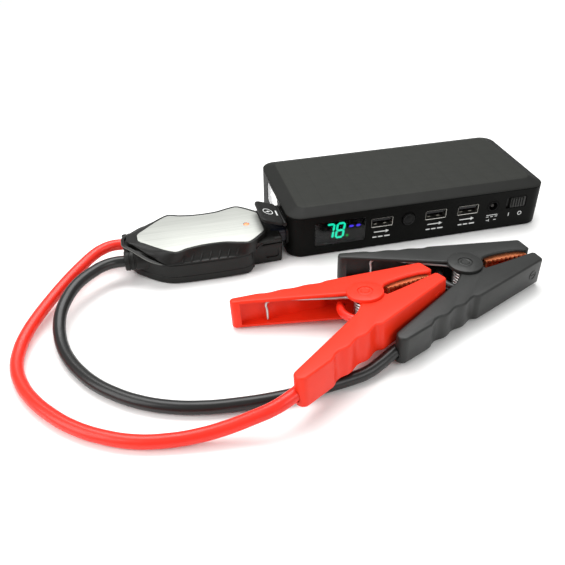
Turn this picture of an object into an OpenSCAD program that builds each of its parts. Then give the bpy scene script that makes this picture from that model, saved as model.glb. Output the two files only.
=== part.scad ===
// Jump starter pack: a flat lithium battery pack with a plug-in smart lead and two battery clamps.
// Origin: middle of the face that the pack rests on. X runs along the pack, +Y away from the ports, Z up.

/* [Battery pack] */
// Length of the pack
pack_l = 160; // [158:1:162]
// Depth of the pack, front to back
pack_w = 74; // [73:1:78]
// Height of the pack
pack_h = 29.5; // [29:0.5:33]
// Radius of the upright corners
corner_r = 8.5; // [7:0.5:9]
// Wall thickness of the case
wall = 2; // [1.8:0.1:2.2]
// Height of the line where the two case halves meet
seam_z = 25.8; // [25.4:0.1:26]
// How far the sloping edge of the lid runs in
bevel_in = 7.8; // [5:0.2:9]

/* [Ports] */
// Height of the USB sockets' centre
usb_z = 16.8; // [16:0.1:17.5]
// Travel of the power button
button_travel = 1; // [0.6:0.1:1.2]
// Travel of the slide switch
switch_travel = 2.4; // [1.5:0.1:2.6]
// Centre of the jump socket, measured along Y
socket_y = -22.5; // [-23:0.5:-22]
// Centre height of the jump socket
socket_z = 12.5; // [12:0.5:12.5]
// Angle that the open port cover stands above level
cover_angle = 20; // [10:1:40]

/* [Smart plug] */
// Height of the line where the plug's two shells meet
module_seam = 12.5; // [12:0.5:12.5]
// Height of the plug's rubber top
module_top = 20.1; // [19:0.1:20.2]
// Wall thickness of the plug's shells
module_wall = 2; // [1.6:0.1:2.2]

/* [Cables] */
// Diameter of each cable
cable_d = 6.3; // [5.8:0.1:6.4]

/* [Clamps] */
// Thickness of a clamp half, across its two cheeks
clamp_h = 15.5; // [15:0.5:16]
// How far the pivot discs stand proud of the cheeks
disc_proud = 1.6; // [1.4:0.1:1.8]
// Radius of the pivot discs
disc_r = 9.2; // [9:0.1:10.3]
// Thickness of the cheeks
cheek = 1.6; // [1.4:0.1:1.8]
// Thickness of the outer wall of a handle
grip_wall = 2.4; // [2:0.1:2.6]
// Radius of the pivot pin
pin_r = 2.5; // [2.3:0.1:2.6]
// Number of teeth on a copper jaw
teeth = 9; // [6:1:10]

/* [Hidden] */
$fn = 64;
eps = 0.01;
port_play = 0.3;
pin_fit = 0.05;

// Case
base_relief = 0.7;
case_size = [pack_l, pack_w];
front_y = -pack_w / 2;
left_x = -pack_l / 2;
lid_edge = 0.4;
screw_x = pack_l / 2 - 9;
screw_y = pack_w / 2 - 8.5;
screw_at = [[-screw_x, screw_y], [screw_x, screw_y], [screw_x, -screw_y], [-screw_x + 15, -screw_y]];
screw_r = 1.2;
boss_r = 3.2;

// Front face: centre X, centre Z and opening of each port
window_c = [-49.6, 13.9];
window_size = [30.8, 15.4];
usb_x = [-24.35, 9.3, 29.95];
usb_size = [13.2, 5.9];
usb_depth = 14;
button_c = [-8, 16.4];
button_r = 3.75;
dc_c = [46.6, 16.6];
dc_bore_r = 2.8;
switch_c = [61.6, 17.4];
switch_size = [12.8, 7.2];
knob_size = [9.6, 6.4];

// Flat circuit board behind the ports
board_z = 11.9;
board_t = 1.6;
board_x = [-52, 66];
board_y = [-31, -11];

// Left end: torch and jump socket
torch_y = 4.5;
torch_z = 17;
torch_size = [25, 13.6];
socket_size = [19, 11.4];
cavity_size = [17, 9.4];
cavity_depth = 16;
plug_size = [16.2, 8.6];
contact_gap = 4;
contact_r = 1.7;
contact_play = 0.3;
cover_z = 21.6;
cover_x = left_x - 1.4;
cover_size = [13.5, 23];
cover_t = 2;
cover_pin_r = 1.3;

// Smart plug, in plan: [x, half width] about its own centre line
module_y = -23;
module_plan = [[-168.5, 4.5], [-160, 13.2], [-154, 18.1], [-147.5, 21.2], [-138, 22.2],
               [-116, 22.5], [-106, 21.7], [-101.5, 19]];
hood_plan = [[-169.5, 4], [-164, 11.7], [-158, 17.4], [-150, 20.2], [-138, 21],
             [-116, 21.3], [-106, 20.5], [-101.5, 17.8], [-92.5, 10.3]];
nose_plan = [[-100, 14.6], [-84, 14]];
plate_plan = [[-163.5, 3.6], [-145.5, 19.2], [-138, 17.4], [-129, 15.9], [-117, 16.2],
              [-108.5, 18.6], [-103.5, 19], [-93.5, 10]];
plate_t = 0.9;
nose_top = 16.5;
module_screw_x = [-146, -110];
nose_face = nose_plan[1][0];
relief_y = [-14.2, -31.8];
relief_z = 11.8;
relief_r = 5.9;
relief_x = [-172, -157];

// Cable routes, laid out by hand on the floor that the pack stands on
cable_rest = cable_d / 2 + 0.05;
red_route = [[-172, -14.2, 11.8], [-178, -14.2, 11.8], [-184, -16.6, 11.5], [-189, -20.6, 10.9], [-194.5, -26.4, 9.8],
    [-200, -33, 8.7], [-206, -41.5, 7.6], [-212, -51, 6.5], [-218, -62, 5.6], [-223, -73.5, 4.8],
    [-226, -85, 4], [-226.5, -96, 3.5], [-224, -107, cable_rest], [-219, -118, cable_rest],
    [-211, -129.5, cable_rest], [-201, -140, cable_rest], [-189, -148.5, cable_rest],
    [-176, -154.5, cable_rest], [-163, -157.5, 3.5], [-151, -159, 4.6], [-139, -159.6, 6.7],
    [-127.5, -159.6, 9.7], [-118.5, -159.4, 12.5], [-110.4, -157.1, 14.7], [-105.6, -154.1, 14.9],
    [-99.9, -150.4, 14.6], [-93.2, -144.9, 14.2]];
black_route = [[-172, -31.8, 11.8], [-178, -31.8, 11.8], [-184, -34.4, 12.1], [-189, -38.3, 12.1],
    [-194, -42.8, 11.8], [-199, -48.5, 10.9], [-203, -55.5, 9.5], [-206, -63.5, 7.8], [-207.2, -71, 6],
    [-207, -79, 4.7], [-205.5, -88, 3.8], [-202.5, -97, 3.4], [-198, -106, cable_rest],
    [-192, -115, cable_rest], [-184, -123.5, cable_rest], [-173, -132, cable_rest],
    [-160, -138.5, cable_rest], [-146, -142.5, cable_rest], [-131, -144.5, cable_rest],
    [-116, -145.2, cable_rest], [-102, -144.6, cable_rest], [-90, -143.4, cable_rest],
    [-79.5, -142.2, 3.4], [-70.5, -140.6, 3.9], [-62.5, -137.4, 5.2], [-56, -134, 6.3],
    [-50.8, -131.7, 6.95], [-44.6, -128.7, 6.95], [-37.3, -124.1, 6.95]];

// Clamp, in its own frame: pivot at the origin, jaws towards +X, free half on +Y, cable half on -Y
jaw_x = 41.5;
grip_slope = 0.282;
free_outer0 = 20.5;
cable_outer0 = 23.7;
free_end = -55;
cable_end = -58.5;
free_inner = [1.8, 0.527];
cable_inner = [5.4, 0.4645];
wave_from = -8;
wave_to = -43;
wave_pitch = 12.4;
wave_mean = 1.35;
wave_amp = 0.65;
ear_r = 7.1;
ear_cut_r = 7.5;
ear_gap = 0.25;
clamp_z0 = disc_proud;
clamp_mid = clamp_z0 + clamp_h / 2;
channel_z = clamp_z0 + cheek;
channel_h = clamp_h - 2 * cheek;
jaw_metal_h = 10.2;
metal_t = 1.2;
cable_z = channel_z + cable_d / 2 + 0.6;
slot_r = cable_d / 2 + 0.15;
slot_drop = 0.6;
wire_r = 0.7;
black_at = [2, -89, 0];
black_turn = [0, 0, 8.5];
red_at = [-58.5, -106, 3.6];
red_turn = [0, 0, 16];
red_tilt = [-7.3, 0, 0];

// Colours
shell_black = [0.07, 0.07, 0.075];
rubber_black = [0.12, 0.12, 0.12];
board_green = [0.05, 0.3, 0.15];
steel = [0.75, 0.76, 0.78];
copper = [0.78, 0.42, 0.2];
brass = [0.8, 0.65, 0.3];
clamp_red = [0.85, 0.1, 0.06];
clamp_black = [0.13, 0.13, 0.13];
aluminium = [0.82, 0.83, 0.84];

// Rounded rectangle, centred
module rounded(size, r) {
    square([size[0] - 2 * r, size[1]], center = true);
    square([size[0], size[1] - 2 * r], center = true);
    for (sx = [-1, 1], sy = [-1, 1])
        translate([sx * (size[0] / 2 - r), sy * (size[1] / 2 - r)]) circle(r);
}

module slab(size, r, h) {
    linear_extrude(h) rounded(size, r);
}

// Upright rounded panel in the front face: y0 is its front, depth runs towards +Y
module front_panel(c, size, r, y0, depth) {
    translate([c[0], y0 + depth, c[1]]) rotate([90, 0, 0]) slab(size, r, depth);
}

// Round rod or hole running back from the front face: y0 is its front end
module front_rod(c, r, y0, depth) {
    translate([c[0], y0 + depth, c[1]]) rotate([90, 0, 0]) cylinder(r = r, h = depth);
}

// Round rod or hole running in from the left end: x0 is its left end
module side_rod(y, z, r, x0, depth) {
    translate([x0, y, z]) rotate([0, 90, 0]) cylinder(r = r, h = depth);
}

// Upright rounded panel in the left end: x0 is its outer face, depth runs towards +X
module side_panel(y, z, size, r, x0, depth) {
    translate([x0, y, z]) rotate([90, 0, 90]) slab(size, r, depth);
}

module box(lo, hi) {
    translate(lo) cube([hi[0] - lo[0], hi[1] - lo[1], hi[2] - lo[2]]);
}

module at_screws() {
    for (p = screw_at) translate([p[0], p[1], 0]) children();
}

// ---- Battery pack ----

module port_openings() {
    front_panel(window_c, window_size, 1.2, front_y - 1, wall + 2);
    for (x = usb_x)
        front_panel([x, usb_z], usb_size + [port_play, port_play], 0.3, front_y - 1, wall + 2);
    front_rod(button_c, button_r + 0.25, front_y - 1, wall + 2);
    front_rod(dc_c, 3.4, front_y - 1, wall + 2);
    front_panel(switch_c, switch_size, 0.6, front_y - 1, wall + 2);
    side_panel(torch_y, torch_z, torch_size, 3, left_x - 1, wall + 2);
    side_panel(socket_y, socket_z, [socket_size[0] + 0.1, socket_size[1] + 0.1], 3, left_x - 1, 10);
    box([left_x - 1, socket_y - 7, cover_z - 1.1], [left_x + wall + 1, socket_y + 7, cover_z + 0.9]);
}

module case_bottom() {
    color(shell_black) difference() {
        union() {
            difference() {
                union() {
                    slab(case_size - 2 * base_relief * [1, 1], corner_r - base_relief, base_relief + eps);
                    translate([0, 0, base_relief]) slab(case_size, corner_r, seam_z - base_relief);
                }
                translate([0, 0, wall]) slab(case_size - 2 * wall * [1, 1], corner_r - wall, seam_z);
            }
            at_screws() translate([0, 0, wall - eps]) cylinder(r = boss_r, h = seam_z - wall - 0.5);
        }
        at_screws() translate([0, 0, -1]) cylinder(r = screw_r + pin_fit, h = seam_z + 2);
        at_screws() translate([0, 0, -1]) cylinder(r = 2.4, h = 2.6);
        port_openings();
    }
}

module case_top() {
    color(shell_black) difference() {
        hull() {
            translate([0, 0, seam_z]) linear_extrude(lid_edge) rounded(case_size, corner_r, $fn = 32);
            translate([0, 0, pack_h - 0.1]) linear_extrude(0.1)
                rounded(case_size - 2 * bevel_in * [1, 1], 4, $fn = 32);
        }
        translate([0, 0, seam_z - 1])
            slab(case_size - (2 * bevel_in + 4) * [1, 1], 4, pack_h - seam_z - 1);
        at_screws() translate([0, 0, seam_z - 1]) cylinder(r = screw_r + pin_fit, h = 3.4);
    }
}

module case_screws() {
    color(steel) at_screws() {
        translate([0, 0, 0.6]) cylinder(r = 2.2, h = 0.9);
        translate([0, 0, 1.4]) cylinder(r = screw_r, h = seam_z + 0.8);
    }
}

module display_window() {
    color([0.05, 0.06, 0.08, 0.6])
        front_panel(window_c, [window_size[0] - 0.1, window_size[1] - 0.1], 1.15, front_y + 0.1, 1);
}

module display_module() {
    color([0.02, 0.02, 0.02])
        front_panel(window_c, [window_size[0] - 2, window_size[1] - 1.6], 0.4, front_y + 1.6, 3.2);
}

// One seven-segment figure, centred, drawn in the X-Z plane
module digit(on) {
    w = 4.4;
    h = 9.2;
    t = 1.1;
    bars = [[0, h / 2, 0], [w / 2, h / 4, 1], [w / 2, -h / 4, 1], [0, -h / 2, 0],
            [-w / 2, -h / 4, 1], [-w / 2, h / 4, 1], [0, 0, 0]];
    for (i = on) translate([bars[i][0], bars[i][1]])
        square(bars[i][2] == 1 ? [t, h / 2 - 0.5] : [w - 0.4, t], center = true);
}

module display_digits() {
    y0 = front_y + 1.35;
    color([0.2, 1, 0.6]) {
        translate([-55.9, y0 + 0.2, 14.7]) rotate([90, 0, 0]) linear_extrude(0.2) digit([0, 1, 2]);
        translate([-49.4, y0 + 0.2, 14.7]) rotate([90, 0, 0]) linear_extrude(0.2) digit([0:6]);
        front_panel([-45.2, 10.9], [1.3, 1.3], 0.3, y0, 0.2);
    }
    color([0.3, 0.3, 1]) for (x = [-43, -38.4]) front_panel([x, 16], [3, 1.6], 0.3, y0, 0.2);
}

module usb_sockets() {
    color(steel) for (x = usb_x) difference() {
        front_panel([x, usb_z], usb_size, 0.3, front_y - 0.1, usb_depth);
        front_panel([x, usb_z], [usb_size[0] - 0.8, usb_size[1] - 0.8], 0.2, front_y - 1, usb_depth);
    }
}

module usb_tongues() {
    color([0.1, 0.1, 0.1]) for (x = usb_x)
        front_panel([x, usb_z + 1.2], [11.2, 1.7], 0.2, front_y + 1.2, usb_depth - 2.2);
}

module dc_jack() {
    color([0.05, 0.05, 0.05]) difference() {
        union() {
            front_rod(dc_c, 3.3, front_y + 0.1, wall + 0.4);
            box([dc_c[0] - 4.5, front_y + wall + 0.1, board_z + board_t + 0.1],
                [dc_c[0] + 4.5, front_y + 13.5, dc_c[1] + 4.4]);
        }
        front_rod(dc_c, dc_bore_r, front_y - 3, 14);
    }
}

module dc_pin() {
    color(brass) front_rod(dc_c, 1, front_y + 1.4, 9.5);
}

module power_button() {
    color([0.1, 0.1, 0.11]) {
        front_rod(button_c, button_r, front_y - 0.8, wall + 1.2);
        front_rod(button_c, button_r + 1.1, front_y + wall + 0.2, 0.9);
    }
}

module button_switch() {
    y0 = front_y + wall + 1.1 + button_travel + 0.25;
    color([0.2, 0.2, 0.2]) {
        front_rod(button_c, 1.6, y0, 1 + eps);
        translate([button_c[0], 0, button_c[1]]) box([-3, y0 + 1, -2.8], [3, y0 + 3, 2.8]);
    }
}

module switch_body() {
    color([0.15, 0.15, 0.15])
        box([switch_c[0] - 6, front_y + wall + 1.6, board_z + board_t + 0.1],
            [switch_c[0] + 6, front_y + wall + 7, switch_c[1] + 3.6]);
}

module switch_slider() {
    c = [switch_c[0] + switch_travel / 2, switch_c[1]];
    color([0.17, 0.17, 0.17]) {
        front_panel(c, knob_size, 0.5, front_y + 0.2, wall);
        for (i = [-2:2])
            front_panel([c[0] + i * 1.7, c[1]], [0.8, knob_size[1] - 0.8], 0.2, front_y - 0.6, 1);
        front_panel(switch_c + [switch_travel / 2, 0], [knob_size[0] + 5.4, knob_size[1] + 1.6], 0.4,
            front_y + wall + 0.15, 1.2);
    }
}

module torch_lens() {
    color([0.9, 0.95, 1, 0.5])
        side_panel(torch_y, torch_z, [torch_size[0] - 0.1, torch_size[1] - 0.1], 2.95, left_x + 0.1, 1.2);
}

module torch_reflector() {
    color(steel) difference() {
        side_panel(torch_y, torch_z, [torch_size[0] - 1, torch_size[1] - 1], 2.5, left_x + 1.5, 7);
        translate([left_x + 1.4, torch_y, torch_z]) rotate([0, 90, 0]) cylinder(r1 = 5.6, r2 = 2.2, h = 5.5);
        for (s = [-1, 1]) translate([left_x + 1.4, torch_y + s * 9, torch_z]) rotate([0, 90, 0])
            cylinder(r1 = 2.6, r2 = 1.4, h = 4);
    }
}

module torch_led() {
    color([1, 1, 0.9]) side_rod(torch_y, torch_z, 1.5, left_x + 5.1, 1.7);
}

module jump_socket() {
    color([0.1, 0.1, 0.1]) difference() {
        side_panel(socket_y, socket_z, socket_size, 2.95, left_x - 0.4, cavity_depth + 2.4);
        side_panel(socket_y, socket_z, cavity_size, 2.4, left_x - 1, cavity_depth + 0.6);
        for (s = [-1, 1]) side_rod(socket_y + s * contact_gap, socket_z, contact_r, left_x, 30);
    }
}

module socket_contacts() {
    color(brass) for (s = [-1, 1])
        side_rod(socket_y + s * contact_gap, socket_z, contact_r, left_x + cavity_depth - 10.6, 15);
}

module cover_strap() {
    color(rubber_black) difference() {
        union() {
            box([cover_x + 0.2, socket_y - 6.9, cover_z - 1],
                [left_x + wall + 0.5, socket_y + 6.9, cover_z + 0.8]);
            box([left_x + wall + 0.4, socket_y - 7.4, cover_z - 1.6],
                [left_x + wall + 1.6, socket_y + 7.4, cover_z + 1.4]);
        }
        translate([cover_x, socket_y - 20, cover_z]) rotate([-90, 0, 0])
            cylinder(r = cover_pin_r + 0.15, h = 40);
    }
}

module port_cover() {
    color(rubber_black) translate([cover_x, socket_y, cover_z]) rotate([0, cover_angle, 0]) {
        rotate([90, 0, 0]) cylinder(r = cover_pin_r, h = cover_size[1] - 2, center = true);
        translate([-0.2 - cover_size[0] / 2 - 0.4, 0, -cover_t / 2 + 0.2])
            slab([cover_size[0], cover_size[1]], 2.8, cover_t);
    }
}

module battery_cells() {
    color([0.6, 0.65, 0.75]) for (i = [0:2])
        box([-58, -9, wall + 0.4 + i * 7], [66, 32, wall + 0.4 + i * 7 + 6.6]);
}

module circuit_board() {
    color(board_green) box([board_x[0], board_y[0], board_z], [board_x[1], board_y[1], board_z + board_t]);
}

// ---- Smart plug ----

// Closed plan outline from [x, half width] pairs, drawn in by "inset"
function plan_side(p, s, inset) = [for (q = p) [q[0], module_y + s * (q[1] - inset)]];
function flip(p) = [for (i = [len(p) - 1:-1:0]) p[i]];

module plan(p, inset, x_in) {
    last = len(p) - 1;
    side = [for (i = [0:last]) [p[i][0] + (i == 0 ? x_in[0] : i == last ? -x_in[1] : 0), p[i][1]]];
    polygon(concat(plan_side(side, -1, inset), flip(plan_side(side, 1, inset))));
}

module module_layer(z, h, inset, x_in) {
    translate([0, 0, z]) linear_extrude(h) plan(concat(module_plan, nose_plan), inset, x_in);
}

module at_module_screws() {
    for (x = module_screw_x, s = [-1, 1]) translate([x, module_y + s * 14.5, 0]) children();
}

module relief_holes() {
    for (y = relief_y) translate([relief_x[0] - 1, y, relief_z]) rotate([0, 90, 0])
        cylinder(r = relief_r + 0.05, h = relief_x[1] - relief_x[0] + 1.5);
}

module plug_hole() {
    side_panel(socket_y, socket_z, [plug_size[0] + 0.1, plug_size[1] + 0.1], 2.4, nose_face - 7, 12);
}

module module_bottom_shell() {
    color(rubber_black) difference() {
        union() {
            difference() {
                union() {
                    module_layer(0, 1.2, 1, [1.5, 0.6]);
                    module_layer(1.1, module_seam - 1.1, 0, [0, 0]);
                }
                module_layer(module_wall, module_seam, module_wall, [3, module_wall]);
            }
            at_module_screws() translate([0, 0, module_wall - eps])
                cylinder(r = 3, h = module_seam - module_wall - 0.2);
        }
        relief_holes();
        plug_hole();
        at_module_screws() translate([0, 0, -1]) cylinder(r = screw_r + pin_fit, h = 30);
        at_module_screws() translate([0, 0, -1]) cylinder(r = 2.4, h = 2.2);
    }
}

module module_top_shell() {
    color(rubber_black) difference() {
        union() {
            module_layer(module_seam, nose_top - module_seam, 0, [0, 0]);
            translate([0, 0, nose_top - 0.1]) linear_extrude(module_top - nose_top + 0.1)
                plan(hood_plan, 0, [0, 0]);
        }
        module_layer(module_seam - 1, nose_top - module_seam - 0.6, module_wall, [3, module_wall]);
        translate([0, 0, nose_top - 3]) linear_extrude(module_top - nose_top + 1.2)
            plan(module_plan, 4.5, [6, 4]);
        translate([0, 0, module_top - 0.5]) linear_extrude(1) plan(plate_plan, -0.05, [-0.05, -0.05]);
        relief_holes();
        plug_hole();
        translate([-102, module_y - 1, 10]) cylinder(r = 1.6, h = 12);
    }
}

module module_plate() {
    color(aluminium) difference() {
        translate([0, 0, module_top - 0.5]) linear_extrude(plate_t) plan(plate_plan, 0, [0, 0]);
        translate([-102, module_y - 1, 10]) cylinder(r = 1.6, h = 12);
    }
}

module module_led() {
    color([1, 0.5, 0.2]) translate([-102, module_y - 1, module_top - 3]) cylinder(r = 1.5, h = 3);
}

module module_board() {
    color(board_green) box([-152, module_y - 11, 5], [-104, module_y + 11, 6.6]);
}

module module_relays() {
    color([0.1, 0.25, 0.5]) for (y = [-5.5, 5.5])
        box([-140, module_y + y - 5, 6.7], [-122, module_y + y + 5, 14.6]);
}

module module_screws() {
    color(steel) at_module_screws() {
        translate([0, 0, 0.2]) cylinder(r = 2.2, h = 0.9);
        translate([0, 0, 1]) cylinder(r = screw_r, h = module_seam - 2);
    }
}

module plug_housing() {
    color([0.08, 0.1, 0.2]) difference() {
        side_panel(socket_y, socket_z, plug_size, 2.3, nose_face - 6, 6 + 18.6);
        for (s = [-1, 1])
            side_rod(socket_y + s * contact_gap, socket_z, contact_r + contact_play + 0.5, nose_face - 7, 40);
    }
}

module plug_contacts() {
    color(brass) for (s = [-1, 1]) difference() {
        side_rod(socket_y + s * contact_gap, socket_z, contact_r + contact_play + 0.5, nose_face - 8, 26);
        side_rod(socket_y + s * contact_gap, socket_z, contact_r + contact_play, nose_face + 2, 20);
    }
}

module strain_relief(y) {
    color(rubber_black) translate([relief_x[0], y, relief_z]) rotate([0, 90, 0]) {
        cylinder(r1 = relief_r - 0.5, r2 = relief_r, h = 5);
        translate([0, 0, 5 - eps]) cylinder(r = relief_r, h = relief_x[1] - relief_x[0] - 5);
    }
}

// ---- Cables ----

function unit(v) = v / norm(v);
function tangent(p, i) = unit(p[min(i + 1, len(p) - 1)] - p[max(i - 1, 0)]);
function cross_side(t) = unit(cross(t, [0, 0, 1]));
function tube_ring(p, i, r, n) = let (t = tangent(p, i), u = cross_side(t), w = cross(u, t))
    [for (k = [0:n - 1]) p[i] + r * (cos(360 * (k + 0.5) / n) * u + sin(360 * (k + 0.5) / n) * w)];

// Round tube along a list of points
module tube(p, r, n) {
    last = len(p) - 1;
    points = [for (i = [0:last]) each tube_ring(p, i, r, n)];
    skin = [for (i = [0:last - 1], k = [0:n - 1])
        [i * n + k, i * n + (k + 1) % n, (i + 1) * n + (k + 1) % n, (i + 1) * n + k]];
    caps = [[for (k = [n - 1:-1:0]) k], [for (k = [0:n - 1]) last * n + k]];
    polyhedron(points, concat(skin, caps));
}

module red_cable() {
    color(clamp_red) tube(red_route, cable_d / 2, 12);
}

module black_cable() {
    color(clamp_black) tube(black_route, cable_d / 2, 12);
}

// ---- Clamps ----

// Depth of the finger grooves at a place along the grip
function wave(x) = x > wave_from || x < wave_to ? 0
    : min(1, (wave_from - x) / 3, (x - wave_to) / 3)
    * (wave_mean + wave_amp * cos(360 * (x + 12.5) / wave_pitch));
function outer_y(x, y0) = y0 - grip_slope * x - wave(x);
function outer_edge(y0, from_x, to_x, drop) = concat(
    [[from_x, outer_y(from_x, y0) - drop]],
    [for (x = [wave_from:-1.55:wave_to]) [x, outer_y(x, y0) - drop]],
    [[to_x, outer_y(to_x, y0) - drop]]);
function arc(c, r, a0, a1, n) = [for (i = [0:n]) let (a = a0 + (a1 - a0) * i / n) c + r * [cos(a), sin(a)]];
function mirrored(p) = [for (q = p) [q[0], -q[1]]];

// Outline of a half on the +Y side; the inner edge is left to the caller
function half_outline(y0, end_x, end_r, nose_in, inner, near_pivot) = concat(
    [nose_in, [jaw_x, nose_in[1] + 1]],
    arc([jaw_x - 2, outer_y(jaw_x - 2, y0) - 2], 2, 0, 70, 4),
    outer_edge(y0, jaw_x - 6, end_x + 1, 0),
    arc([end_x, outer_y(end_x, y0) - end_r], end_r, 95, 250, 6),
    [[end_x + 2, inner[0] - inner[1] * (end_x + 2)]],
    near_pivot);

free_points = half_outline(free_outer0, free_end, 2.6, [40.2, -1.2], free_inner,
    [[-12, 8.1], [-7, 5.5], [-4, 0.4], [7.4, 0.4], [10.6, 0], [13.2, 1.9], [16.9, 2.5], [22.1, 2.5],
     [28.2, 1.9], [34, 0.9], [37.5, -0.8]]);
cable_points = mirrored(half_outline(cable_outer0, cable_end, 3.6, [40, 4.2], cable_inner,
    [[-13, 11.4], [-7.5, 6.8], [-5, 0.4], [6.8, 0.4], [8.6, 6.4], [15.6, 6.2], [25.7, 5.5], [32.7, 4.9]]));

function channel_points(y0, end_x) = concat([[jaw_x - 2.4, -14]],
    outer_edge(y0, jaw_x - 2.4, end_x, grip_wall), [[end_x, -14]]);

module plate_at(z, h, points) {
    translate([0, 0, z]) linear_extrude(h) polygon(points);
}

module post(r, z, h) {
    translate([0, 0, z]) cylinder(r = r, h = h);
}

module free_half() {
    difference() {
        union() {
            difference() {
                plate_at(clamp_z0, clamp_h, free_points);
                plate_at(channel_z, channel_h, channel_points(free_outer0, free_end + 1));
                post(ear_cut_r, -1, 40);
            }
            post(disc_r, 0, disc_proud);
            post(disc_r, clamp_z0 + clamp_h, disc_proud);
        }
        post(pin_r + pin_fit, -1, 40);
        post(3.9, -1, 1.5);
        post(3.9, clamp_h + 2 * disc_proud - 0.5, 2);
    }
}

module cable_half() {
    end_c = [cable_end, -outer_y(cable_end, cable_outer0) + grip_wall + cable_d / 2 + 0.25, cable_z];
    difference() {
        union() {
            plate_at(clamp_z0, clamp_h, cable_points);
            post(ear_r, clamp_z0, cheek);
            post(ear_r, clamp_z0 + clamp_h - cheek, cheek);
        }
        plate_at(channel_z, channel_h, mirrored(channel_points(cable_outer0, cable_end + 2)));
        post(disc_r + 0.4, -1, 1 + clamp_z0 + ear_gap);
        post(disc_r + 0.4, clamp_z0 + clamp_h - ear_gap, 5);
        post(pin_r + pin_fit, -1, 40);
        translate(end_c) rotate([0, 0, atan(grip_slope)]) {
            for (z = [0, -slot_drop])
                translate([-8, 0, z]) rotate([0, 90, 0]) cylinder(r = slot_r, h = 16);
            translate([-8, 0, -slot_r - slot_drop]) cube([16, 12, 2 * slot_r + slot_drop]);
        }
    }
}

// Toothed edge of a jaw between two points
function tooth_edge(a, b, n, depth) =
    [for (i = [0:2 * n]) a + (b - a) * i / (2 * n) + [0, i % 2 == 1 ? depth : 0]];
free_jaw_edge = concat([[39, -2.2]], tooth_edge([38.6, -2.3], [15, 0.5], teeth, 1), [[14.5, 1.5]]);
cable_jaw_edge = concat([[39, -3.2]], tooth_edge([38.6, -3.2], [15, -5.2], teeth, -1), [[14.5, -7]]);

module jaw_metal(edge, back, y0, s) {
    z0 = clamp_mid - jaw_metal_h / 2;
    outline = concat(edge, back);
    inner = [[40, s * -12], [40, s * (outer_y(37.8, y0) - grip_wall - 0.1 - metal_t)],
             [15.8, s * (outer_y(15.8, y0) - grip_wall - 0.1 - metal_t)], [15.8, s * -12]];
    color(copper) difference() {
        plate_at(z0, jaw_metal_h, outline);
        plate_at(z0 + metal_t, jaw_metal_h - 2 * metal_t, inner);
    }
}

module free_jaw() {
    jaw_metal(free_jaw_edge, [[14.5, outer_y(14.5, free_outer0) - grip_wall - 0.1],
        [39, outer_y(39, free_outer0) - grip_wall - 0.1]], free_outer0, 1);
}

module cable_jaw() {
    jaw_metal(cable_jaw_edge, [[14.5, -outer_y(14.5, cable_outer0) + grip_wall + 0.1],
        [39, -outer_y(39, cable_outer0) + grip_wall + 0.1]], cable_outer0, -1);
}

module pivot_pin() {
    color(steel) {
        post(3.6, 0.02, 0.4);
        post(pin_r, 0.4, clamp_h + 2 * disc_proud - 0.8);
        post(3.6, clamp_h + 2 * disc_proud - 0.42, 0.4);
    }
}

// Straight round rod between two points
module rod(a, b, r) {
    v = b - a;
    translate(a) rotate([0, acos(v[2] / norm(v)), atan2(v[1], v[0])]) cylinder(r = r, h = norm(v));
}

module spring() {
    z0 = channel_z + 0.4;
    h = channel_h - 0.8;
    leg_z = z0 + wire_r + 0.3;
    color(steel) {
        difference() {
            post(5.8, z0, h);
            post(4.4, z0 - 1, h + 2);
        }
        rod([-3, -4.2, leg_z], [-33, -23.9, leg_z], wire_r);
        rod([-33, -23.9, leg_z - 0.9], [-33, -23.9, z0 + h], wire_r + 0.05);
    }
}

module spring_leg() {
    z1 = channel_z + channel_h - 0.4 - wire_r;
    color(steel) {
        rod([-5.6, 4.6, z1], [-41, 26.6, z1], wire_r);
        rod([-41, 26.6, channel_z + 1], [-41, 26.6, z1 + 0.2], wire_r);
    }
}

module jumper_wire() {
    translate([0, 0, clamp_mid]) rotate([0, 0, 135]) rotate_extrude(angle = 105) translate([12.3, 0]) circle(2.1);
}

module cable_lug() {
    color(copper) {
        rod([-44.1, -28.9, cable_z], [-37.5, -27.1, cable_z], 2.4);
        plate_at(clamp_mid - 3, 6, [[-39, -27.9], [14.3, -15.4], [14.3, -14.2], [-39, -26.7]]);
    }
}

module place_black() {
    translate(black_at) rotate(black_turn) children();
}

module place_red() {
    translate(red_at) rotate(red_turn) rotate(red_tilt) children();
}

case_bottom();
case_top();
case_screws();
display_window();
display_module();
display_digits();
usb_sockets();
usb_tongues();
dc_jack();
dc_pin();
power_button();
button_switch();
switch_body();
switch_slider();
torch_lens();
torch_reflector();
torch_led();
jump_socket();
socket_contacts();
cover_strap();
port_cover();
battery_cells();
circuit_board();
module_bottom_shell();
module_top_shell();
module_plate();
module_led();
module_board();
module_relays();
module_screws();
plug_housing();
plug_contacts();
strain_relief(relief_y[0]);  // red_strain_relief
strain_relief(relief_y[1]);  // black_strain_relief
red_cable();
black_cable();
color(clamp_red) place_red() cable_half();  // red_cable_half
color(clamp_red) place_red() free_half();  // red_free_half
place_red() cable_jaw();  // red_cable_jaw
place_red() free_jaw();  // red_free_jaw
place_red() pivot_pin();  // red_pivot_pin
place_red() spring();  // red_spring
place_red() spring_leg();  // red_spring_leg
color(clamp_red) place_red() jumper_wire();  // red_jumper_wire
place_red() cable_lug();  // red_cable_lug
color(clamp_black) place_black() cable_half();  // black_cable_half
color(clamp_black) place_black() free_half();  // black_free_half
place_black() cable_jaw();  // black_cable_jaw
place_black() free_jaw();  // black_free_jaw
place_black() pivot_pin();  // black_pivot_pin
place_black() spring();  // black_spring
place_black() spring_leg();  // black_spring_leg
color(clamp_black) place_black() jumper_wire();  // black_jumper_wire
place_black() cable_lug();  // black_cable_lug
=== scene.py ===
"""Looks of the jump starter pack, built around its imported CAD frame.

Lengths are in millimetres, unless a comment says metres, and become metres where a piece is placed.
"""

import math

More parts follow.
